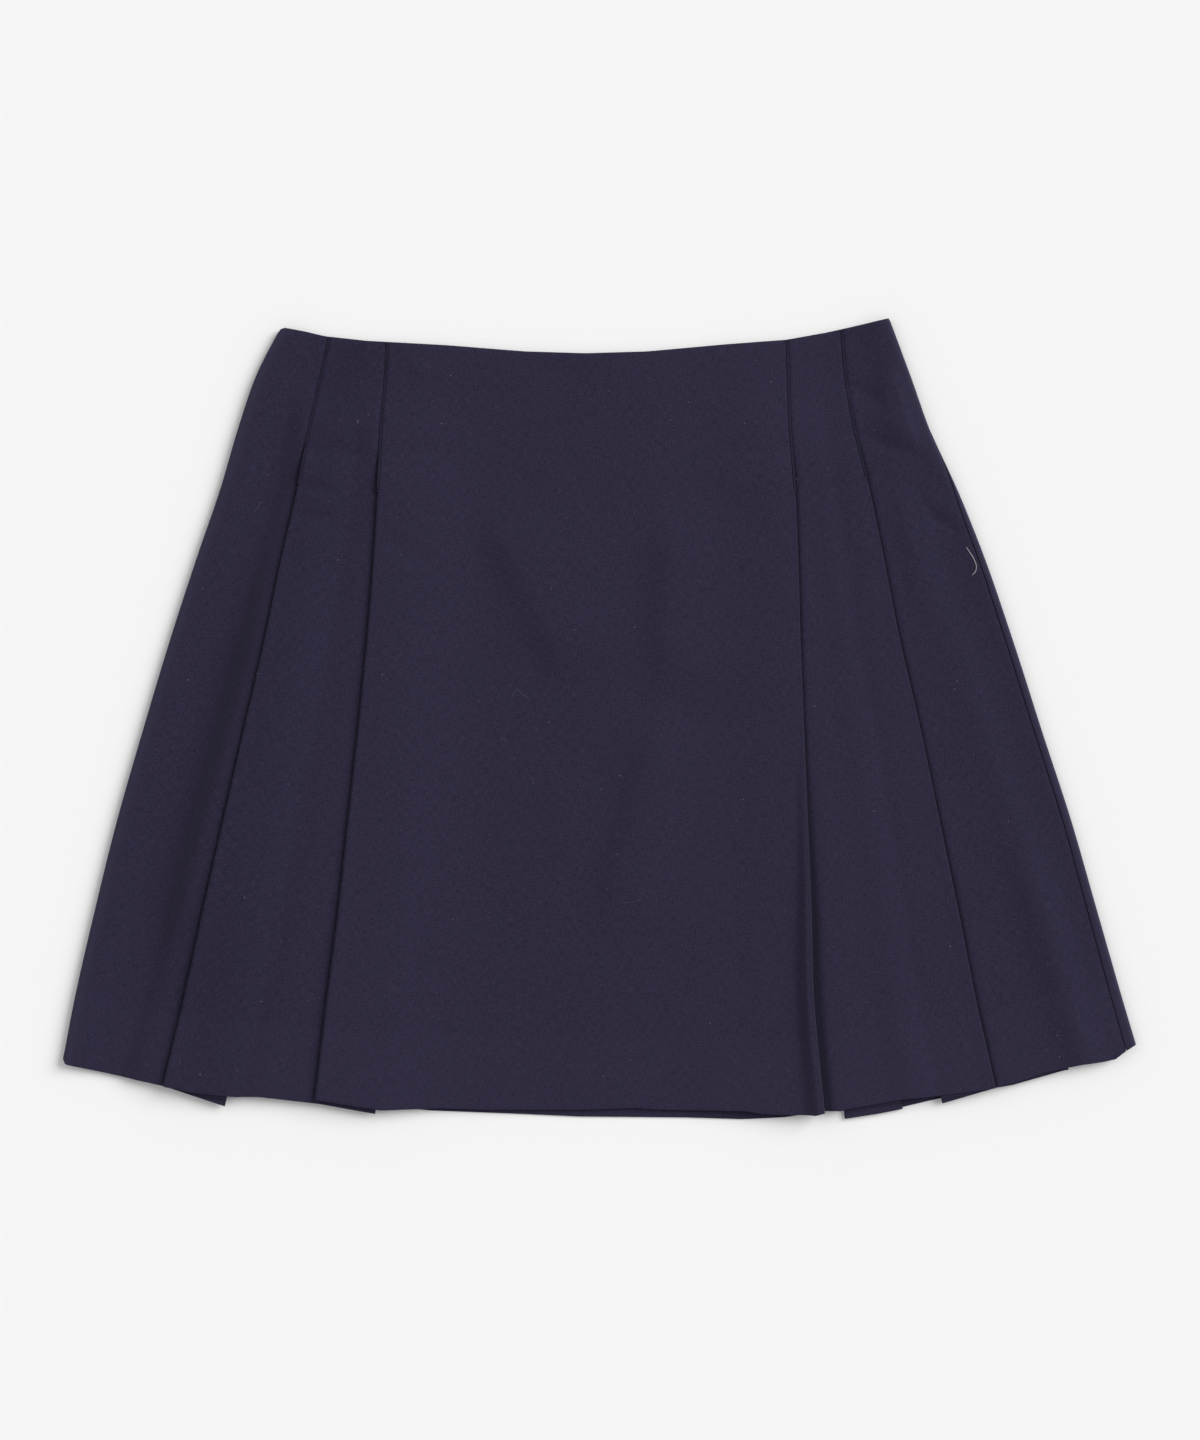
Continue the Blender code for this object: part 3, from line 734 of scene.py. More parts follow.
def cut_size(grid):
    """Width, length and area of the gore as it was cut, in metres and square metres."""
    from_left, _ = distance_across(grid)
    down = distance_down(grid)
    across = np.diff(from_left, axis=1)
    row_area = (across[1:] + across[:-1]) / 2.0 * np.diff(down, axis=0)[:, 1:]
    area = row_area[whole_cells(grid)].sum()
    return from_left[:, -1].max() * MM, down[-1].max() * MM, area * MM * MM


def weave_map(grid, grain):
    """Places on the flat cloth, along its threads: the gore unfolded and turned to its grain."""
    from_left, _ = distance_across(grid)
    middle = grid.there.shape[1] // 2
    x = grid.places[:, middle, 0][:, None] + from_left - from_left[:, middle][:, None]
    y = grid.places[:, :, 1]
    along = x * math.cos(grain) + y * math.sin(grain)
    up = y * math.cos(grain) - x * math.sin(grain)
    return np.stack([along * MM, up * MM], axis=2)


def line_distance(gore, grid):
    """Distance from the nearest line of a gore, taken as further where the line is fainter.

    The fold lines get the darkest painted shade, most of all where a fold lifts. The closed
    seams above them and the side seams get fainter painted shade.
    """
    pleats = FRONT_PLEATS if gore.face == FRONT else BACK_PLEATS
    from_left, from_right = distance_across(grid)
    x = grid.places[:, :, 0]
    y = grid.places[:, :, 1]
    closed = 1.0 - smooth((share_down(x, y) - RISE_END) / (RELEASE - RISE_END))
    distances = []
    for name, side, from_side in ((gore.left, LEFT, from_left), (gore.right, RIGHT, from_right)):
        if name is None:
            distances.append(np.hypot(from_side, FAINT_SIDE_SEAM))
            continue
        pleat = pleats[name]
        deep = DEEP_FOLD if folds_at(pleat, side) else DEEP_PLEAT
        lifted = pleat_spring(pleat, y) / HIGHEST_SPRING
        beside = np.maximum(np.abs(x - pleat.line(y)) - deep * lifted, 0.0)
        faint_fold = FAINT_LEFT_FOLD if pleat.inward == RIGHT else 0.0
        distances.append(np.hypot(beside, blend(faint_fold, FAINT_SEAM, closed)))
    return np.minimum(*distances)


def edge_map(gore, grid):
    """Millimetres from the nearest line of a gore, and up from its hem."""
    down = distance_down(grid)
    return np.stack([line_distance(gore, grid), down[-1] - down], axis=2)


def painted_light_map(gore, grid):
    """Painted light and shade at each place, and how strong the painted sheen of a side fold is
    there.
    """
    x = grid.places[:, :, 0]
    y = grid.places[:, :, 1]
    # painted light and shade across the skirt, less the painted shadow beside folds that lift
    lighter = painted_light_at(share_across(x, y)) - lifted_shade(gore, x, y)
    # painted sheen along the side folds
    sheen_left = np.exp(-(((x - EDGES[LEFT](y)) / PAINTED_SHEEN_WIDTH) ** 2)) * PAINTED_SHEEN_LEFT
    sheen_right = np.exp(-(((x - EDGES[RIGHT](y)) / PAINTED_SHEEN_WIDTH) ** 2)) * PAINTED_SHEEN_RIGHT
    return np.stack([lighter, np.maximum(sheen_left, sheen_right)], axis=2)


def lifted_shade(gore, x, y):
    """Painted shadow beside a fold that lifts off its pleat: how much darker it makes the cloth.
    """
    if gore.face == BACK:
        return 0.0
    shade = 0.0
    for name, side in ((gore.left, LEFT), (gore.right, RIGHT)):
        if name is None:
            continue
        pleat = FRONT_PLEATS[name]
        lifted = pleat_spring(pleat, y) / HIGHEST_SPRING
        beside = np.abs(x - pleat.line(y))
        if folds_at(pleat, side):
            near = np.exp(-((beside / PAINTED_FOLD_SHADOW_WIDTH.x) ** 2))
        else:
            near = np.exp(-((np.maximum(beside - DEEP_PLEAT, 0.0) / PAINTED_FOLD_SHADOW_WIDTH.y) ** 2))
        shade = shade + PAINTED_FOLD_SHADOW * lifted * near
    return shade


def share_across(x, y):
    """From -1 at the left side fold to 1 at the right one."""
    left = EDGES[LEFT](y)
    right = EDGES[RIGHT](y)
    return (2.0 * x - left - right) / (right - left)


def shell_mesh(name, grid, maps):
    number = np.cumsum(grid.there.ravel()).reshape(grid.there.shape) - 1
    corners = [number[:-1, :-1], number[1:, :-1], number[1:, 1:], number[:-1, 1:]]
    faces = np.stack(corners, axis=2)[whole_cells(grid)]
    places = grid.places[grid.there] - np.array([MIDDLE_X, 0.0, 0.0])
    mesh = bpy.data.meshes.new(name)
    mesh.from_pydata((places * MM).tolist(), [], faces.tolist())
    mesh.update()
    for map_name, values in maps.items():
        layer = mesh.uv_layers.new(name=map_name)
        layer.data.foreach_set("uv", values[grid.there][faces.ravel()].ravel())
    return mesh


def add_object(name, data):
    piece = bpy.data.objects.new(name, data)
    bpy.context.scene.collection.objects.link(piece)
    return piece


def finish_shell(name, mesh, material, thickness):
    """Give a sheet its thickness and its rounded rim, as a plain mesh."""
    sheet = add_object(name + "_sheet", mesh)
    wall = sheet.modifiers.new("Cloth", "SOLIDIFY")
    wall.thickness = thickness * MM
    wall.offset = 0.0
    rim = sheet.modifiers.new("Rim", "BEVEL")
    rim.limit_method = "ANGLE"
    rim.angle_limit = math.radians(RIM_ANGLE)
    rim.width = thickness * RIM_SHARE * MM
    rim.segments = RIM_SEGMENTS
    graph = bpy.context.evaluated_depsgraph_get()
    whole = bpy.data.meshes.new_from_object(sheet.evaluated_get(graph))
    bpy.data.objects.remove(sheet)
    whole.name = name
    whole.materials.clear()
    whole.materials.append(material)
    whole.shade_smooth()
    return add_object(name, whole)


def roll_edges(gore, grid):
    """Sink the cloth at its seams and lines, and lift it a little over the turned-up hem."""
    if gore.face == BACK:
        return grid
    down = distance_down(grid)
    up = down[-1] - down
    near = np.exp(-((line_distance(gore, grid) / SEAM_ROLL_WIDTH) ** 2))
    folded = [name for name, side in ((gore.left, LEFT), (gore.right, RIGHT))
              if name is not None and folds_at(FRONT_PLEATS[name], side)]
    released = share_down(grid.places[:, :, 0], grid.places[:, :, 1]) > RELEASE
    for name in folded:
        pleat = FRONT_PLEATS[name]
        beside = np.abs(grid.places[:, :, 0] - pleat.line(grid.places[:, :, 1])) < RELEASE_DEPTH
        near[beside & released] = 0.0
    dip = SEAM_DIP * near + SEAM_DIP * WAIST_DIP * np.exp(-((down / SEAM_ROLL_WIDTH) ** 2))
    out = outward(grid)
    over_hem = 1.0 - smooth((up - HEM_DEPTH) / HEM_SLOPE + 0.5)
    lift = HEM_STEP * over_hem * clamp(out[:, :, 2])
    return Grid(grid.places + out * (lift - dip)[:, :, None], grid.there)


# Grain: the turn of a gore's threads from straight down the skirt, to the left when positive.
Gore = namedtuple("Gore", "name face left right hem grain")
GORES = (
    Gore("front_side_left", FRONT, None, "left_outer", FRONT_SIDE_LEFT_HEM, -0.23),
    Gore("front_mid_left", FRONT, "left_outer", "left_inner", FRONT_MID_LEFT_HEM, -0.15),
    Gore("front_centre", FRONT, "left_inner", "right_inner", FRONT_CENTRE_HEM, 0.0),
    Gore("front_mid_right", FRONT, "right_inner", "right_outer", FRONT_MID_RIGHT_HEM, 0.12),
    Gore("front_side_right", FRONT, "right_outer", None, FRONT_SIDE_RIGHT_HEM, 0.25),
    Gore("back_side_left", BACK, None, "left_outer", BACK_SIDE_LEFT_HEM, -0.23),
    Gore("back_mid_left", BACK, "left_outer", "left_inner", BACK_MID_LEFT_HEM, -0.15),
    Gore("back_centre", BACK, "left_inner", "right_inner", BACK_CENTRE_HEM, 0.0),
    Gore("back_mid_right", BACK, "right_inner", "right_outer", BACK_MID_RIGHT_HEM, 0.12),
    Gore("back_side_right", BACK, "right_outer", None, BACK_SIDE_RIGHT_HEM, 0.25),
)


def lay_gore(gore):
    pleats = FRONT_PLEATS if gore.face == FRONT else BACK_PLEATS
    left = pleats.get(gore.left)
    right = pleats.get(gore.right)
    panel = make_panel(gore.name, gore.face, left, right, gore.hem)
    left_columns = boundary_columns(panel, left, LEFT)
    right_columns = boundary_columns(panel, right, RIGHT)
    middle = middle_columns(panel, left_columns[-1], right_columns[-1])
    columns = left_columns + middle + right_columns[::-1]
    rows = row_shares(FRONT_ROW if gore.face == FRONT else BACK_ROW)
    return lay_grid(columns, gore.face, rows, int(np.flatnonzero(rows == RELEASE)[0]))


def add_gore(gore, grid, material):
    maps = {
        "weave": weave_map(grid, gore.grain),
        "edges": edge_map(gore, grid),
        "tone": painted_light_map(gore, grid),
    }
    name = gore.name + "_wool"
    piece = finish_shell(name, shell_mesh(name, roll_edges(gore, grid), maps), material, SHELL)
    width, length, area = cut_size(grid)
    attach(piece, BODY)
    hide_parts(gore.name)
    return piece


# ---------------------------------------------------------------------------------------------
# Finishes
# ---------------------------------------------------------------------------------------------

NAVY_DARK = (0.0098, 0.0076, 0.0230, 1.0)
NAVY_LIGHT = (0.0310, 0.0238, 0.0540, 1.0)
# painted shade in the creases along seams and fold lines
NAVY_PAINTED_CREASE_SHADE = (0.0085, 0.0066, 0.0170, 1.0)
NAVY_HEM = (0.0300, 0.0240, 0.0520, 1.0)
NAVY_CLOUD = (0.0190, 0.0150, 0.0370, 1.0)
# painted sheen along the side folds
NAVY_PAINTED_SHEEN = (0.0300, 0.0250, 0.0520, 1.0)
TAPE_DARK = (0.0100, 0.0090, 0.0200, 1.0)
TAPE_LIGHT = (0.0320, 0.0290, 0.0560, 1.0)
COIL_DARK = (0.0080, 0.0080, 0.0150, 1.0)
COIL_LIGHT = (0.0200, 0.0190, 0.0330, 1.0)
THREAD_DARK = (0.0080, 0.0070, 0.0160, 1.0)
THREAD_LIGHT = (0.0300, 0.0260, 0.0500, 1.0)
LINT_DULL = (0.0450, 0.0420, 0.0600, 1.0)
LINT_PALE = (0.5000, 0.4900, 0.4800, 1.0)
GROUND_DARK = (0.862, 0.862, 0.862, 1.0)
GROUND_LIGHT = (0.874, 0.874, 0.874, 1.0)

WOOL_SHEEN = 0.18
WOOL_SHEEN_ROUGHNESS = 0.45
WOOL_SHEEN_TINT = (0.70, 0.62, 1.0, 1.0)
WOOL_SPECULAR = 0.18
PAINTED_LINE_SHADE_WIDTH = 1.2        # of the painted shade along a seam or a fold
HEM_SOFTNESS = 0.3      # how fast the hem's tone ends, to a millimetre
FLECK = 0.92            # how much the hairs change the tone, beside the threads
CLOUDINESS = 0.25
HEM_LIGHTER = 0.12
# how much the painted shade darkens the wool along seams and fold lines
PAINTED_LINE_SHADE = 0.5
THREAD_RELIEF = 0.00012     # in metres, as is every relief below
HAIR_RELIEF = 0.00015


def feed(tree, node, inputs):
    """Set a node's inputs, by name or number, to values or to the sockets that give them."""
    for label, value in inputs.items():
        if isinstance(value, bpy.types.NodeSocket):
            tree.links.new(value, node.inputs[label])
        else:
            node.inputs[label].default_value = value


def add_node(tree, kind, inputs=None, **settings):
    node = tree.nodes.new(kind)
    for name, value in settings.items():
        setattr(node, name, value)
    feed(tree, node, inputs or {})
    return node


def math_node(tree, operation, *values):
    inputs = dict(enumerate(values))
    return add_node(tree, "ShaderNodeMath", inputs, operation=operation).outputs[0]


def noise_node(tree, vector, scale, detail):
    inputs = {"Vector": vector, "Scale": scale, "Detail": detail}
    return add_node(tree, "ShaderNodeTexNoise", inputs, noise_dimensions="3D").outputs["Fac"]


def parts_of(tree, vector):
    return add_node(tree, "ShaderNodeSeparateXYZ", {0: vector}).outputs


def new_tree(kind, name, inputs, outputs):
    """A node tree with named sockets: {name: (type, value)} in and {name: type} out.

    Gives the tree, what comes into it by name, and the node that takes what goes out of it.
    """
    tree = bpy.data.node_groups.new(name, kind)
    for label, (socket_type, value) in inputs.items():
        socket = tree.interface.new_socket(label, in_out="INPUT", socket_type=socket_type)
        if value is not None:
            socket.default_value = value
    for label, socket_type in outputs.items():
        tree.interface.new_socket(label, in_out="OUTPUT", socket_type=socket_type)
    return tree, tree.nodes.new("NodeGroupInput").outputs, tree.nodes.new("NodeGroupOutput")


def new_group(name, numbers, outputs):
    """A shader node group of a place: {name: number} in and numbers out."""
    inputs = {label: ("NodeSocketFloat", number) for label, number in numbers.items()}
    return new_tree("ShaderNodeTree", name, {"Vector": ("NodeSocketVector", None), **inputs},
                    {label: "NodeSocketFloat" for label in outputs})


def place_group(tree, group, vector, **values):
    inputs = {name.replace("_", " "): value for name, value in values.items()}
    node = add_node(tree, "ShaderNodeGroup", {"Vector": vector, **inputs}, node_tree=group)
    return node.outputs


def plain_weave_group():
    """A plain weave: its relief, and the tones of its threads."""
    group, source, target = new_group(
        "Plain weave", {"Threads per metre": 2200.0, "Streak": 14.0}, ("Height", "Tone"))
    scaled = add_node(
        group, "ShaderNodeVectorMath",
        {0: source["Vector"], "Scale": source["Threads per metre"]}, operation="SCALE")
    place = parts_of(group, scaled.outputs[0])
    waves = [math_node(group, "SINE", math_node(group, "MULTIPLY", place[axis], math.pi))
             for axis in "XY"]
    crossing = math_node(group, "MULTIPLY", *waves)

    def thread_tone(axis):
        """A tone for each thread that runs along an axis, which changes slowly along it."""
        slow = math_node(group, "DIVIDE", place[axis], source["Streak"])
        combined = add_node(
            group, "ShaderNodeCombineXYZ", {"X": place["X"], "Y": place["Y"], axis: slow})
        return noise_node(group, combined.outputs[0], 1.0, 1.0)

    both = math_node(group, "ADD", thread_tone("Y"), thread_tone("X"))
    feed(group, target, {
        "Height": math_node(group, "ABSOLUTE", crossing),
        "Tone": math_node(group, "MULTIPLY", both, 0.5),
    })
    return group


def nap_group():
    """The short felted hairs on wool: fine relief, and clouds where the nap lies another way."""
    group, source, target = new_group(
        "Wool nap", {"Hairs per metre": 1400.0, "Clouds per metre": 22.0}, ("Height", "Cloud"))
    feed(group, target, {
        "Height": noise_node(group, source["Vector"], source["Hairs per metre"], 2.0),
        "Cloud": noise_node(group, source["Vector"], source["Clouds per metre"], 3.0),
    })
    return group


def line_group():
    """Masks along seams and fold lines, for the painted shade where the cloth lies deep, and over
    the hem.
    """
    group, source, target = new_group(
        "Lines and hem", {"Line width": PAINTED_LINE_SHADE_WIDTH, "Hem depth": HEM_DEPTH}, ("Line", "Hem"))
    place = parts_of(group, source["Vector"])
    near = math_node(group, "DIVIDE", place["X"], source["Line width"])
    falling = math_node(group, "MULTIPLY", math_node(group, "MULTIPLY", near, near), -1.0)
    below = math_node(group, "SUBTRACT", source["Hem depth"], place["Y"])
    softened = math_node(group, "MULTIPLY_ADD", below, HEM_SOFTNESS, 0.5)
    feed(group, target, {
        "Line": math_node(group, "EXPONENT", falling),
        "Hem": add_node(group, "ShaderNodeClamp", {"Value": softened}).outputs[0],
    })
    return group


def mixed_colour(tree, factor, first, second):
    """A Mix node's colour; each of first and second is a colour or the socket that feeds it."""
    mix = add_node(
        tree, "ShaderNodeMix", {"Factor": factor}, data_type="RGBA", clamp_factor=True)
    numbers = [i for i, socket in enumerate(mix.inputs) if socket.type == "RGBA"]
    feed(tree, mix, dict(zip(numbers, (first, second))))
    return next(socket for socket in mix.outputs if socket.type == "RGBA")


def ranged(tree, value, low, high, to_low, to_high):
    inputs = {"Value": value, "From Min": low, "From Max": high, "To Min": to_low,
              "To Max": to_high}
    return add_node(tree, "ShaderNodeMapRange", inputs).outputs["Result"]


def bump_node(tree, height, strength, distance, **normal):
    inputs = {"Strength": strength, "Distance": distance, "Height": height, **normal}
    return add_node(tree, "ShaderNodeBump", inputs).outputs["Normal"]


def uv_place(tree, name):
    return add_node(tree, "ShaderNodeUVMap", uv_map=name).outputs[0]


def object_place(tree):
    return add_node(tree, "ShaderNodeTexCoord").outputs["Object"]


def new_material(name):
    material = bpy.data.materials.new(name)
    material.use_nodes = True
    tree = material.node_tree
    return material, tree, tree.nodes["Principled BSDF"]


def wool_material(weave, nap, lines):
    material, tree, shader = new_material("Navy wool")
    flat = uv_place(tree, "weave")
    threads = place_group(tree, weave, flat, Threads_per_metre=2300.0, Streak=9.0)
    hairs = place_group(tree, nap, flat, Hairs_per_metre=1800.0, Clouds_per_metre=24.0)
    shade_and_hem_masks = place_group(tree, lines, uv_place(tree, "edges"), Line_width=PAINTED_LINE_SHADE_WIDTH)
    # painted light and shade across the skirt (X), and painted sheen along the side folds (Y)
    painted_light_and_sheen = parts_of(tree, uv_place(tree, "tone"))

    yarn = ranged(tree, threads["Tone"], 0.30, 0.70, 0.0, 1.0)
    fleck = ranged(tree, hairs["Height"], 0.30, 0.70, -0.5, 0.5)
    tone = math_node(tree, "MULTIPLY_ADD", fleck, FLECK, yarn)
    # the painted light and shade is added to the yarn's tone
    tone = math_node(tree, "ADD", tone, painted_light_and_sheen["X"])
    colour = mixed_colour(tree, tone, NAVY_DARK, NAVY_LIGHT)
    # mixed in turn: painted sheen at the side folds, the nap's random clouds, the hem's tone, and
    # painted shade along the seams and fold lines
    shares = (
        (painted_light_and_sheen["Y"], NAVY_PAINTED_SHEEN),
        (ranged(tree, hairs["Cloud"], 0.35, 0.75, 0.0, CLOUDINESS), NAVY_CLOUD),
        (math_node(tree, "MULTIPLY", shade_and_hem_masks["Hem"], HEM_LIGHTER), NAVY_HEM),
        (math_node(tree, "MULTIPLY", shade_and_hem_masks["Line"], PAINTED_LINE_SHADE), NAVY_PAINTED_CREASE_SHADE),
    )
    for share, other in shares:
        colour = mixed_colour(tree, share, colour, other)
    relief = bump_node(tree, threads["Height"], 0.5, THREAD_RELIEF)
    feed(tree, shader, {
        "Base Color": colour,
        "Roughness": ranged(tree, hairs["Height"], 0.3, 0.7, 0.82, 0.96),
        "Normal": bump_node(tree, hairs["Height"], 0.5, HAIR_RELIEF, Normal=relief),
        "Specular IOR Level": WOOL_SPECULAR,
        "Sheen Weight": WOOL_SHEEN,
        "Sheen Roughness": WOOL_SHEEN_ROUGHNESS,
        "Sheen Tint": WOOL_SHEEN_TINT,
    })
    return material


def tape_material(weave):
    material, tree, shader = new_material("Zip tape")
    flat = uv_place(tree, "weave")
    threads = place_group(tree, weave, flat, Threads_per_metre=3200.0, Streak=30.0)
    feed(tree, shader, {
        "Base Color": mixed_colour(tree, threads["Tone"], TAPE_DARK, TAPE_LIGHT),
        "Roughness": ranged(tree, threads["Height"], 0.0, 1.0, 0.75, 0.6),
        "Normal": bump_node(tree, threads["Height"], 0.6, 0.0001),
        "Specular IOR Level": 0.3,
    })
    return material


def coil_material(nap):
    """Dyed nylon, with fine scuffs."""
    material, tree, shader = new_material("Nylon coil")
    scuffs = place_group(
        tree, nap, object_place(tree), Hairs_per_metre=3000.0, Clouds_per_metre=120.0)
    feed(tree, shader, {
        "Base Color": mixed_colour(tree, scuffs["Cloud"], COIL_DARK, COIL_LIGHT),
        "Roughness": ranged(tree, scuffs["Height"], 0.3, 0.7, 0.3, 0.45),
        "Normal": bump_node(tree, scuffs["Height"], 0.3, 0.00003),
    })
    return material


def thread_material(nap):
    """Twisted sewing thread, a little shinier than the wool."""
    material, tree, shader = new_material("Sewing thread")
    fuzz = place_group(
        tree, nap, object_place(tree), Hairs_per_metre=4000.0, Clouds_per_metre=200.0)
    feed(tree, shader, {
        "Base Color": mixed_colour(tree, fuzz["Height"], THREAD_DARK, THREAD_LIGHT),
        "Roughness": ranged(tree, fuzz["Cloud"], 0.3, 0.7, 0.55, 0.7),
        "Normal": bump_node(tree, fuzz["Height"], 0.5, 0.00005),
    })
    return material


def lint_material(nap):
    """Pale fluff and fibres; each piece's own paleness says how much it stands out."""
    material, tree, shader = new_material("Lint")
    fuzz = place_group(
        tree, nap, object_place(tree), Hairs_per_metre=5000.0, Clouds_per_metre=400.0)
    paleness = add_node(tree, "ShaderNodeAttribute", attribute_name=PALENESS).outputs["Fac"]
    uneven = math_node(
        tree, "MULTIPLY", paleness, ranged(tree, fuzz["Height"], 0.3, 0.7, 0.7, 1.0))
    feed(tree, shader, {
        "Base Color": mixed_colour(tree, uneven, LINT_DULL, LINT_PALE),
        "Roughness": ranged(tree, fuzz["Cloud"], 0.3, 0.7, 0.8, 0.95),
    })
    return material


# ---------------------------------------------------------------------------------------------
# The sewing, the zip and the lint
# ---------------------------------------------------------------------------------------------

ACROSS = "across"
PALENESS = "paleness"
THICKNESS = "thickness"

SEAM_STITCH = 2.2       # from one stitch to the next
STITCH_LENGTH = 1.1
STITCH_WIDTH = 0.28
STITCH_DEPTH = 0.57     # of a stitch under the middle of the cloth beside its seam
STITCH_TOP = 1.5        # of the first stitch below the waist's edge
SEAM_POINTS = 30        # of a seam's path
TO_THE_RIGHT = (1.0, 0.0, 0.0)

TAPE_THICKNESS = 0.5
TAPE_ROW = 4.0
TAPE_TURNS = 6
TAPE_LEG_PLACES = 4
COIL_STEP = 1.2
COIL_TOOTH = 3.2
COIL_WIRE = 0.52
COIL_INSET = 2.2        # of the coil's middle from where the tape's legs start

LINT_SEED = 20
SPECKS = 240
SPECK_MARGIN = 9.0      # kept clear round the skirt's outline
SPECK_SIZE = 0.19
SPECK_LOWEST = Point(-300.0, -215.0)        # the corners of where specks are tried
SPECK_HIGHEST = Point(300.0, 205.0)
PALE_RARITY = 2.5       # the higher, the fewer of the specks are pale
TUFT_TURN = (0.6, 0.6, math.tau)
TUFT_LEAST = (0.7, 0.5, 0.4)
TUFT_MOST = (2.4, 1.0, 0.6)
FIBRE_STEP = 0.4
FIBRE_TAPER = 1.5       # how long the thinner ends are
FIBRE_TIP = 0.05        # how thick the tip is, squared and as a share
FIBRE_SIDES = 6

# Fibres caught on the wool: places along each, how thick and how pale it is.
Fibre = namedtuple("Fibre", "thickness paleness places")
FIBRES = (
    Fibre(0.40, 0.80, (
        Point(205.0, 96.0), Point(206.9, 93.3), Point(209.7, 88.5), Point(210.7, 85.3),
        Point(210.3, 82.6), Point(208.3, 80.2))),
    Fibre(0.15, 0.12, (
        Point(-49.0, 11.8), Point(-46.0, 16.6), Point(-43.8, 14.8), Point(-41.0, 12.4),
        Point(-38.6, 10.3))),
    Fibre(0.14, 0.10, (Point(-55.9, -9.4), Point(-52.8, -11.8), Point(-50.7, -11.8))),
    Fibre(0.15, 0.12, (
        Point(-38.9, -33.1), Point(-36.6, -33.4), Point(-37.2, -35.4), Point(-35.2, -36.6))),
    Fibre(0.13, 0.07, (
        Point(11.1, -103.0), Point(16.1, -102.5), Point(22.9, -100.6), Point(23.9, -97.7),
        Point(27.8, -95.7), Point(31.3, -98.2), Point(32.3, -104.0))),
    Fibre(0.16, 0.09, (
        Point(-193.3, 115.6), Point(-190.9, 118.0), Point(-188.8, 121.2), Point(-187.0, 121.0))),
    Fibre(0.28, 0.55, (Point(-135.0, 165.2), Point(-134.5, 167.2))),
    Fibre(0.16, 0.08, (Point(247.1, -185.8), Point(249.5, -184.5), Point(251.3, -186.1))),
)


def path_tree(name, inputs):
    """A Geometry Nodes tree with named inputs {name: (type, value)} and a material."""
    inputs = {"Geometry": ("NodeSocketGeometry", None), **inputs,
              "Material": ("NodeSocketMaterial", None)}
    return new_tree("GeometryNodeTree", name, inputs, {"Geometry": "NodeSocketGeometry"})


def finish_tree(tree, geometry, source, target):
    """Make the instances real and give them their material."""
    real = add_node(tree, "GeometryNodeRealizeInstances", {0: geometry})
    rounded = add_node(tree, "GeometryNodeSetShadeSmooth", {0: real.outputs[0]})
    painted = add_node(tree, "GeometryNodeSetMaterial",
                       {"Geometry": rounded.outputs[0], "Material": source["Material"]})
    feed(tree, target, {"Geometry": painted.outputs[0]})
    return tree


def attribute_node(tree, name, kind):
    inputs = {"Name": name}
    node = add_node(tree, "GeometryNodeInputNamedAttribute", inputs, data_type=kind)
    return node.outputs["Attribute"]


def bars_tree():
    """Short bars at even steps along paths, each laid across its path: stitches and zip teeth."""
    tree, source, target = path_tree("Bars across a path", {
        "Step": ("NodeSocketFloat", 0.0022),
        "Length": ("NodeSocketFloat", 0.0011),
        "Width": ("NodeSocketFloat", 0.0003),
    })
    curve = add_node(tree, "GeometryNodeMeshToCurve", {0: source["Geometry"]})
    path = add_node(tree, "GeometryNodeResampleCurve",
                    {0: curve.outputs[0], "Length": source["Step"]}, mode="LENGTH")
    ball = add_node(tree, "GeometryNodeMeshUVSphere", {"Segments": 6, "Rings": 4, "Radius": 0.5})
    scale = add_node(tree, "ShaderNodeCombineXYZ",
                     {"X": source["Length"], "Y": source["Width"], "Z": source["Width"]})
    bar = add_node(tree, "GeometryNodeTransform",
                   {"Geometry": ball.outputs[0], "Scale": scale.outputs[0]})
    across = attribute_node(tree, ACROSS, "FLOAT_VECTOR")
    turned = add_node(tree, "FunctionNodeAlignRotationToVector", {"Vector": across}, axis="X")
    placed = add_node(tree, "GeometryNodeInstanceOnPoints", {
        "Points": path.outputs[0], "Instance": bar.outputs[0], "Rotation": turned.outputs[0]})
    return finish_tree(tree, placed.outputs[0], source, target)


def specks_tree():
    """Small tufts of fluff on points, each turned and sized at random."""
    tree, source, target = path_tree("Specks on points", {
        "Size": ("NodeSocketFloat", 0.0002),
        "Seed": ("NodeSocketInt", LINT_SEED),
    })
    tuft = add_node(tree, "GeometryNodeMeshIcoSphere",
                    {"Subdivisions": 1, "Radius": source["Size"]})
    turn = add_node(tree, "FunctionNodeRandomValue",
                    {"Max": TUFT_TURN, "Seed": source["Seed"]}, data_type="FLOAT_VECTOR")
    stretch = add_node(tree, "FunctionNodeRandomValue",
                       {"Min": TUFT_LEAST, "Max": TUFT_MOST, "Seed": source["Seed"]},
                       data_type="FLOAT_VECTOR")
    placed = add_node(tree, "GeometryNodeInstanceOnPoints", {
        "Points": source["Geometry"], "Instance": tuft.outputs[0], "Rotation": turn.outputs[0],
        "Scale": stretch.outputs[0]})
    return finish_tree(tree, placed.outputs[0], source, target)


def fibres_tree():
    """Thin round fibres along paths, each as thick as its own points say."""
    sides = {"Sides": ("NodeSocketInt", FIBRE_SIDES)}
    tree, source, target = path_tree("Fibres along paths", sides)
    curve = add_node(tree, "GeometryNodeMeshToCurve", {0: source["Geometry"]})
    profile = add_node(tree, "GeometryNodeCurvePrimitiveCircle",
                       {"Radius": 0.5, "Resolution": source["Sides"]})
    tube = add_node(tree, "GeometryNodeCurveToMesh", {
        "Curve": curve.outputs[0], "Profile Curve": profile.outputs["Curve"],
        "Scale": attribute_node(tree, THICKNESS, "FLOAT"), "Fill Caps": True})
    return finish_tree(tree, tube.outputs[0], source, target)


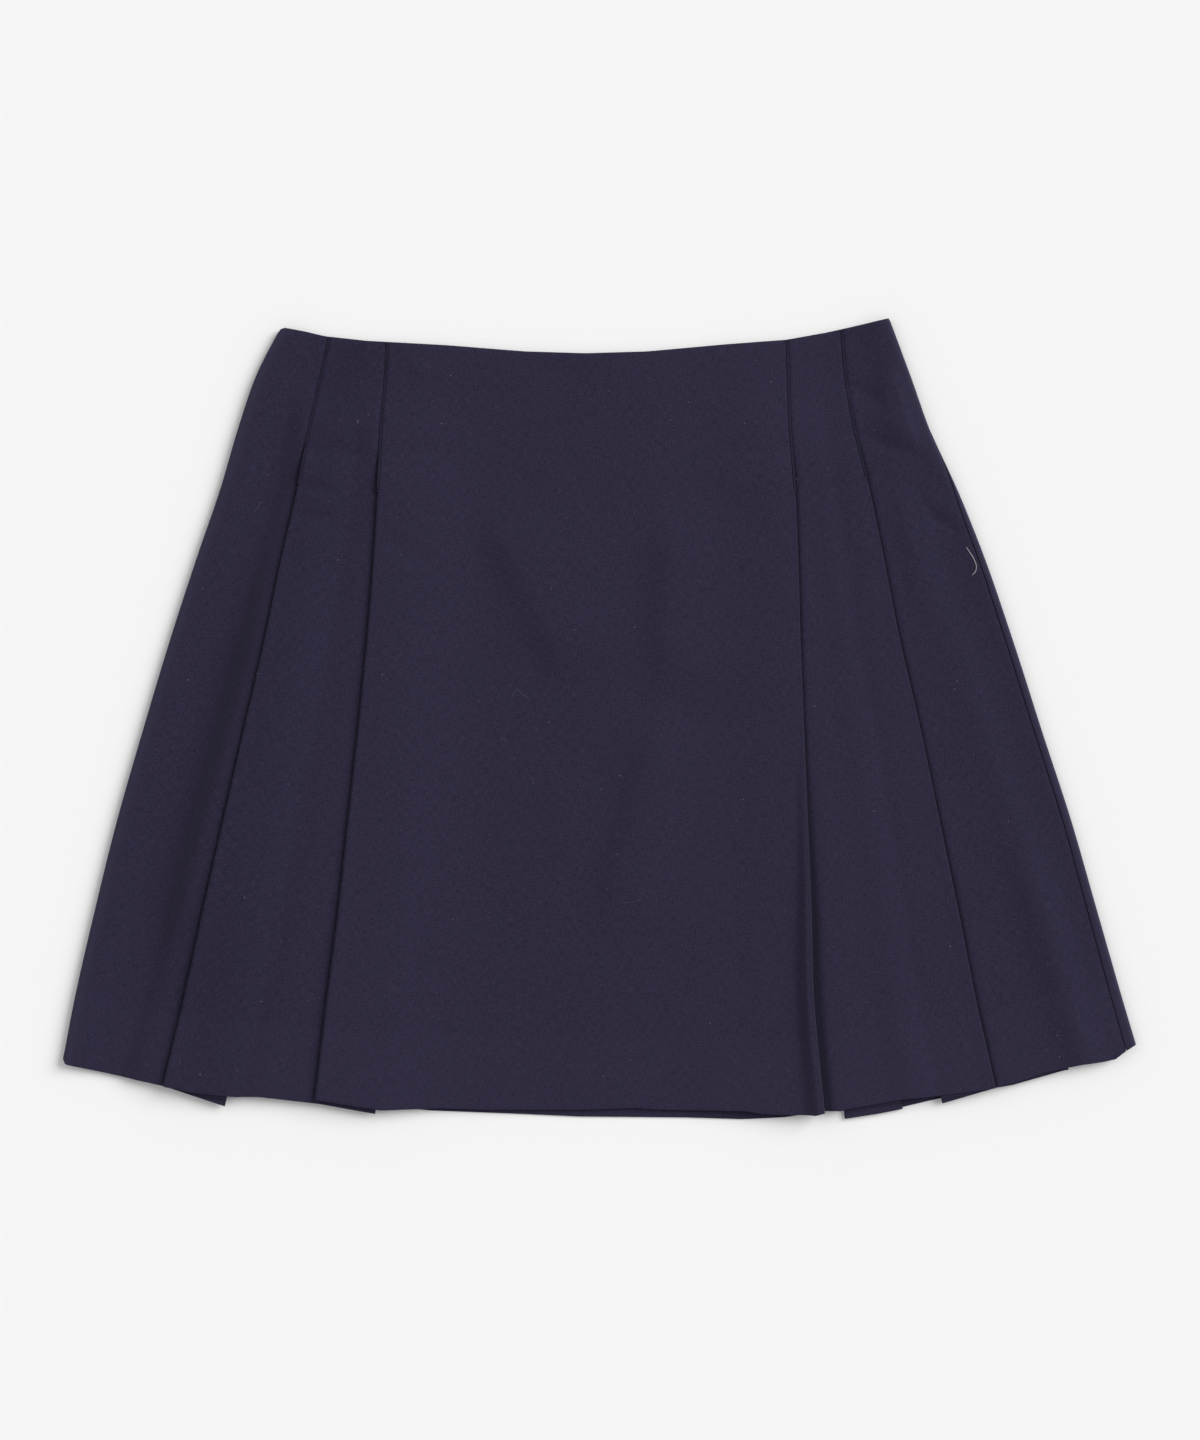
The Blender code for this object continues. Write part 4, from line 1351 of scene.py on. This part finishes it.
def path_mesh(name, paths, attributes):
    """A mesh of open paths of points in millimetres, with values of its own at each point.

    attributes is {name: (kind, a list of values for each path)}.
    """
    places = np.concatenate(paths) - np.array([MIDDLE_X, 0.0, 0.0])
    edges = []
    first = 0
    for path in paths:
        edges += [(first + i, first + i + 1) for i in range(len(path) - 1)]
        first += len(path)
    mesh = bpy.data.meshes.new(name)
    mesh.from_pydata((places * MM).tolist(), edges, [])
    for label, (kind, values) in attributes.items():
        layer = mesh.attributes.new(label, kind, "POINT")
        field = "vector" if kind == "FLOAT_VECTOR" else "value"
        layer.data.foreach_set(field, np.concatenate(values).ravel())
    return mesh


def run_tree(name, mesh, tree, **inputs):
    """Put a mesh through a Geometry Nodes tree and keep the plain mesh that comes out."""
    holder = add_object(name + "_paths", mesh)
    modifier = holder.modifiers.new("Nodes", "NODES")
    modifier.node_group = tree
    sockets = {item.name: item.identifier for item in tree.interface.items_tree
               if item.item_type == "SOCKET" and item.in_out == "INPUT"}
    for label, value in inputs.items():
        modifier[sockets[label]] = value
    graph = bpy.context.evaluated_depsgraph_get()
    whole = bpy.data.meshes.new_from_object(holder.evaluated_get(graph))
    bpy.data.objects.remove(holder)
    whole.name = name
    return add_object(name, whole)


def seam_paths(grids):
    """Paths along the seams that show, each point with the way across its seam."""
    paths = []
    across = []
    for face, pleats in ((FRONT, FRONT_PLEATS), (BACK, BACK_PLEATS)):
        for pleat in pleats.values():
            top = waist_of(face, pleat.line(LENGTH / 2)) - STITCH_TOP
            y = np.linspace(top, RELEASE_Y, SEAM_POINTS)
            x = pleat.line(y)
            under = STITCH_DEPTH if face == FRONT else -STITCH_DEPTH
            paths.append(np.column_stack([x, y, lowest_ply(face, x, y) - under]))
            across.append(np.tile(TO_THE_RIGHT, (len(y), 1)))
    for name, column, inner in (("front_side_left", 0, 1), ("front_side_right", -1, -2)):
        grid = grids[name]
        seam = grid.places[:, column][1:-1]
        beside = grid.places[:, inner][1:-1] - seam
        beside /= np.linalg.norm(beside, axis=1, keepdims=True)
        inward = -outward(grid)[:, column][1:-1]
        paths.append(seam + inward * STITCH_DEPTH - beside * SIDE_SEAM_GAP / 2.0)
        across.append(beside)
    return paths, across


def add_stitches(grids, bars, material):
    paths, across = seam_paths(grids)
    mesh = path_mesh("seam_stitches", paths, {ACROSS: ("FLOAT_VECTOR", across)})
    stitches = run_tree(
        "seam_stitches", mesh, bars, Step=SEAM_STITCH * MM, Length=STITCH_LENGTH * MM,
        Width=STITCH_WIDTH * MM, Material=material)
    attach(stitches, BODY)


def tape_columns():
    """Columns of the closed zip's tapes, folded round the inside of the right side fold."""
    edge = EDGES[RIGHT]
    quarter = TAPE_RADIUS * math.pi / 2
    end = quarter + TAPE_LEG

    def turn(around):
        if abs(around) < quarter:
            inset = SIDE_REACH - TAPE_RADIUS * math.cos(around / TAPE_RADIUS)
        else:
            inset = SIDE_REACH + abs(around) - quarter

        def across(y):
            return edge(y) - inset

        def height(x, y):
            bottom = GROUND_PLY + TAPE_STEP + 0.0 * y
            if around <= -quarter:
                return bottom
            if around >= quarter:
                return lowest_ply(FRONT, x, y) - TAPE_STEP
            top = lowest_ply(FRONT, edge(y) - SIDE_REACH, y) - TAPE_STEP
            middle = (top + bottom) / 2.0
            return middle + (top - middle) * math.sin(around / TAPE_RADIUS)

        return full_column(across, height, cornered(FRONT_SIDE_RIGHT_HEM))

    legs = np.linspace(quarter, end, TAPE_LEG_PLACES)
    fold = np.linspace(-quarter, quarter, TAPE_TURNS + 1)[1:-1]
    return [turn(around) for around in np.concatenate([-legs[::-1], fold, legs])]


def add_zip(bars, weave, nap):
    """The closed zip inside the right side seam: its tapes, and the coil between them."""
    columns = tape_columns()
    tape_length = LENGTH * (TAPE_BOTTOM - TAPE_TOP)
    rows = np.linspace(TAPE_TOP, TAPE_BOTTOM, round(tape_length / TAPE_ROW))
    grid = lay_grid(columns, FRONT, rows, 0)
    sheet = shell_mesh("zip_tape_cloth", grid, {"weave": weave_map(grid, 0.0)})
    tape = finish_shell("zip_tape_cloth", sheet, tape_material(weave), TAPE_THICKNESS)

    lower = grid.places[1:-1, 2]
    upper = grid.places[1:-1, -3]
    y = lower[:, 1]
    x = EDGES[RIGHT](y) - SIDE_REACH - COIL_INSET
    path = np.column_stack([x, y, (lower[:, 2] + upper[:, 2]) / 2.0])
    across = np.tile(TO_THE_RIGHT, (len(path), 1))
    mesh = path_mesh("zip_coil", [path], {ACROSS: ("FLOAT_VECTOR", [across])})
    coil = run_tree(
        "zip_coil", mesh, bars, Step=COIL_STEP * MM, Length=COIL_TOOTH * MM,
        Width=COIL_WIRE * MM, Material=coil_material(nap))

    width, length, area = cut_size(grid)
    for piece in (tape, coil):
        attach(piece, BODY)
    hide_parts("zip_tape")


def top_finder(pieces):
    """A function for the height of the skirt's upper surface at a place, in millimetres."""
    graph = bpy.context.evaluated_depsgraph_get()
    surfaces = [BVHTree.FromObject(piece, graph) for piece in pieces]
    high = 0.1

    def top(x, y):
        start = Vector(((x - MIDDLE_X) * MM, y * MM, high))
        hits = [surface.ray_cast(start, Vector((0.0, 0.0, -1.0)))[0] for surface in surfaces]
        return max((hit.z for hit in hits if hit is not None), default=0.0) / MM

    return top


def fibre_path(fibre, top):
    """A fibre's points, smoothed and laid on the cloth."""
    x = np.array([place.x for place in fibre.places])
    y = np.array([place.y for place in fibre.places])
    length = np.concatenate([[0.0], np.cumsum(np.hypot(np.diff(x), np.diff(y)))])
    along = np.linspace(0.0, length[-1], max(4, round(length[-1] / FIBRE_STEP)))
    x = Curve(length, x)(along)
    y = Curve(length, y)(along)
    z = [top(*place) + fibre.thickness / 3.0 for place in zip(x, y)]
    to_end = np.minimum(along, length[-1] - along)
    taper = np.sqrt(clamp(to_end / FIBRE_TAPER + FIBRE_TIP))
    return np.column_stack([x, y, z]), fibre.thickness * MM * taper


def add_lint(front_pieces, specks, fibres, material):
    """Specks at random places on the front, and the fibres that show."""
    top = top_finder(front_pieces)
    chance = random.Random(LINT_SEED)
    places = []
    paleness = []
    while len(places) < SPECKS:
        x = chance.uniform(SPECK_LOWEST.x, SPECK_HIGHEST.x)
        y = chance.uniform(SPECK_LOWEST.y, SPECK_HIGHEST.y)
        margin = min(x - EDGES[LEFT](y), EDGES[RIGHT](y) - x, waist_height(x) - y)
        if margin > SPECK_MARGIN and top(x, y) > 0.0:
            places.append((x, y, top(x, y)))
            paleness.append(chance.random() ** PALE_RARITY)
    mesh = path_mesh("lint_specks", [np.array([place]) for place in places],
                     {PALENESS: ("FLOAT", [np.array([value]) for value in paleness])})
    speck_piece = run_tree("lint_specks", mesh, specks, Size=SPECK_SIZE * MM, Seed=LINT_SEED,
                           Material=material)

    paths, thickness = zip(*[fibre_path(fibre, top) for fibre in FIBRES])
    pale = [np.full(len(path), fibre.paleness) for path, fibre in zip(paths, FIBRES)]
    mesh = path_mesh("lint_fibres", paths,
                     {THICKNESS: ("FLOAT", thickness), PALENESS: ("FLOAT", pale)})
    fibre_piece = run_tree("lint_fibres", mesh, fibres, Sides=FIBRE_SIDES, Material=material)
    for piece in (speck_piece, fibre_piece):
        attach(piece, BODY)


# ---------------------------------------------------------------------------------------------
# Ground, light and camera
# ---------------------------------------------------------------------------------------------

PHOTO_HEIGHT = 1440
PIXEL = 0.56            # millimetres of the skirt to a pixel of the picture
PHOTO_MIDDLE = Point(0.56, -0.56)
LENS = 85.0
SENSOR = 36.0
FLOOR_HALF = 3.0        # metres, as is the next
FLOOR_DROP = 0.0002     # below the skirt
FLOOR_GRAIN = 900.0     # grains to a metre

# A soft light: where it stands, in degrees round from +X and above the ground, and how wide it
# looks.
Light = namedtuple("Light", "name azimuth elevation size energy")
LIGHTS = (
    Light("Key on the right", 27.0, 35.0, 40.0, 2.75),
    Light("Fill on the left", 160.0, 45.0, 60.0, 0.52),
)
AMBIENT = 0.435


def add_camera():
    data = bpy.data.cameras.new("Camera")
    data.lens = LENS
    data.sensor_width = SENSOR
    camera = add_object("Camera", data)
    distance = PHOTO_HEIGHT * PIXEL / SENSOR * LENS
    camera.location = ((PHOTO_MIDDLE.x - MIDDLE_X) * MM, PHOTO_MIDDLE.y * MM, distance * MM)
    bpy.context.scene.camera = camera


def add_floor():
    mesh = bpy.data.meshes.new("floor")
    corners = [(-1, -1), (1, -1), (1, 1), (-1, 1)]
    mesh.from_pydata([(x * FLOOR_HALF, y * FLOOR_HALF, -FLOOR_DROP) for x, y in corners], [],
                     [(0, 1, 2, 3)])
    floor = add_object("floor", mesh)
    material, tree, shader = new_material("Pale ground")
    grain = noise_node(tree, object_place(tree), FLOOR_GRAIN, 2.0)
    feed(tree, shader, {
        "Base Color": mixed_colour(tree, grain, GROUND_DARK, GROUND_LIGHT),
        "Roughness": 0.9,
        "Specular IOR Level": 0.0,
    })
    mesh.materials.append(material)


def add_light():
    world = bpy.data.worlds.new("Studio")
    bpy.context.scene.world = world
    world.use_nodes = True
    background = world.node_tree.nodes["Background"]
    background.inputs["Color"].default_value = (1.0, 1.0, 1.0, 1.0)
    background.inputs["Strength"].default_value = AMBIENT
    for light in LIGHTS:
        data = bpy.data.lights.new(light.name, "SUN")
        data.energy = light.energy
        data.angle = math.radians(light.size)
        lamp = add_object(light.name, data)
        turn = math.radians(light.azimuth)
        rise = math.radians(light.elevation)
        level = math.cos(rise)
        toward = Vector((math.cos(turn) * level, math.sin(turn) * level, math.sin(rise)))
        lamp.rotation_mode = "QUATERNION"
        lamp.rotation_quaternion = toward.to_track_quat("Z", "Y")
    bpy.context.scene.view_settings.view_transform = "Standard"


def main():
    add_camera()
    add_light()
    add_floor()
    weave = plain_weave_group()
    nap = nap_group()
    wool = wool_material(weave, nap, line_group())
    grids = {gore.name: lay_gore(gore) for gore in GORES}
    pieces = [add_gore(gore, grids[gore.name], wool) for gore in GORES]
    bars = bars_tree()
    add_stitches(grids, bars, thread_material(nap))
    add_zip(bars, weave, nap)
    fronts = [piece for gore, piece in zip(GORES, pieces) if gore.face == FRONT]
    add_lint(fronts, specks_tree(), fibres_tree(), lint_material(nap))


main()
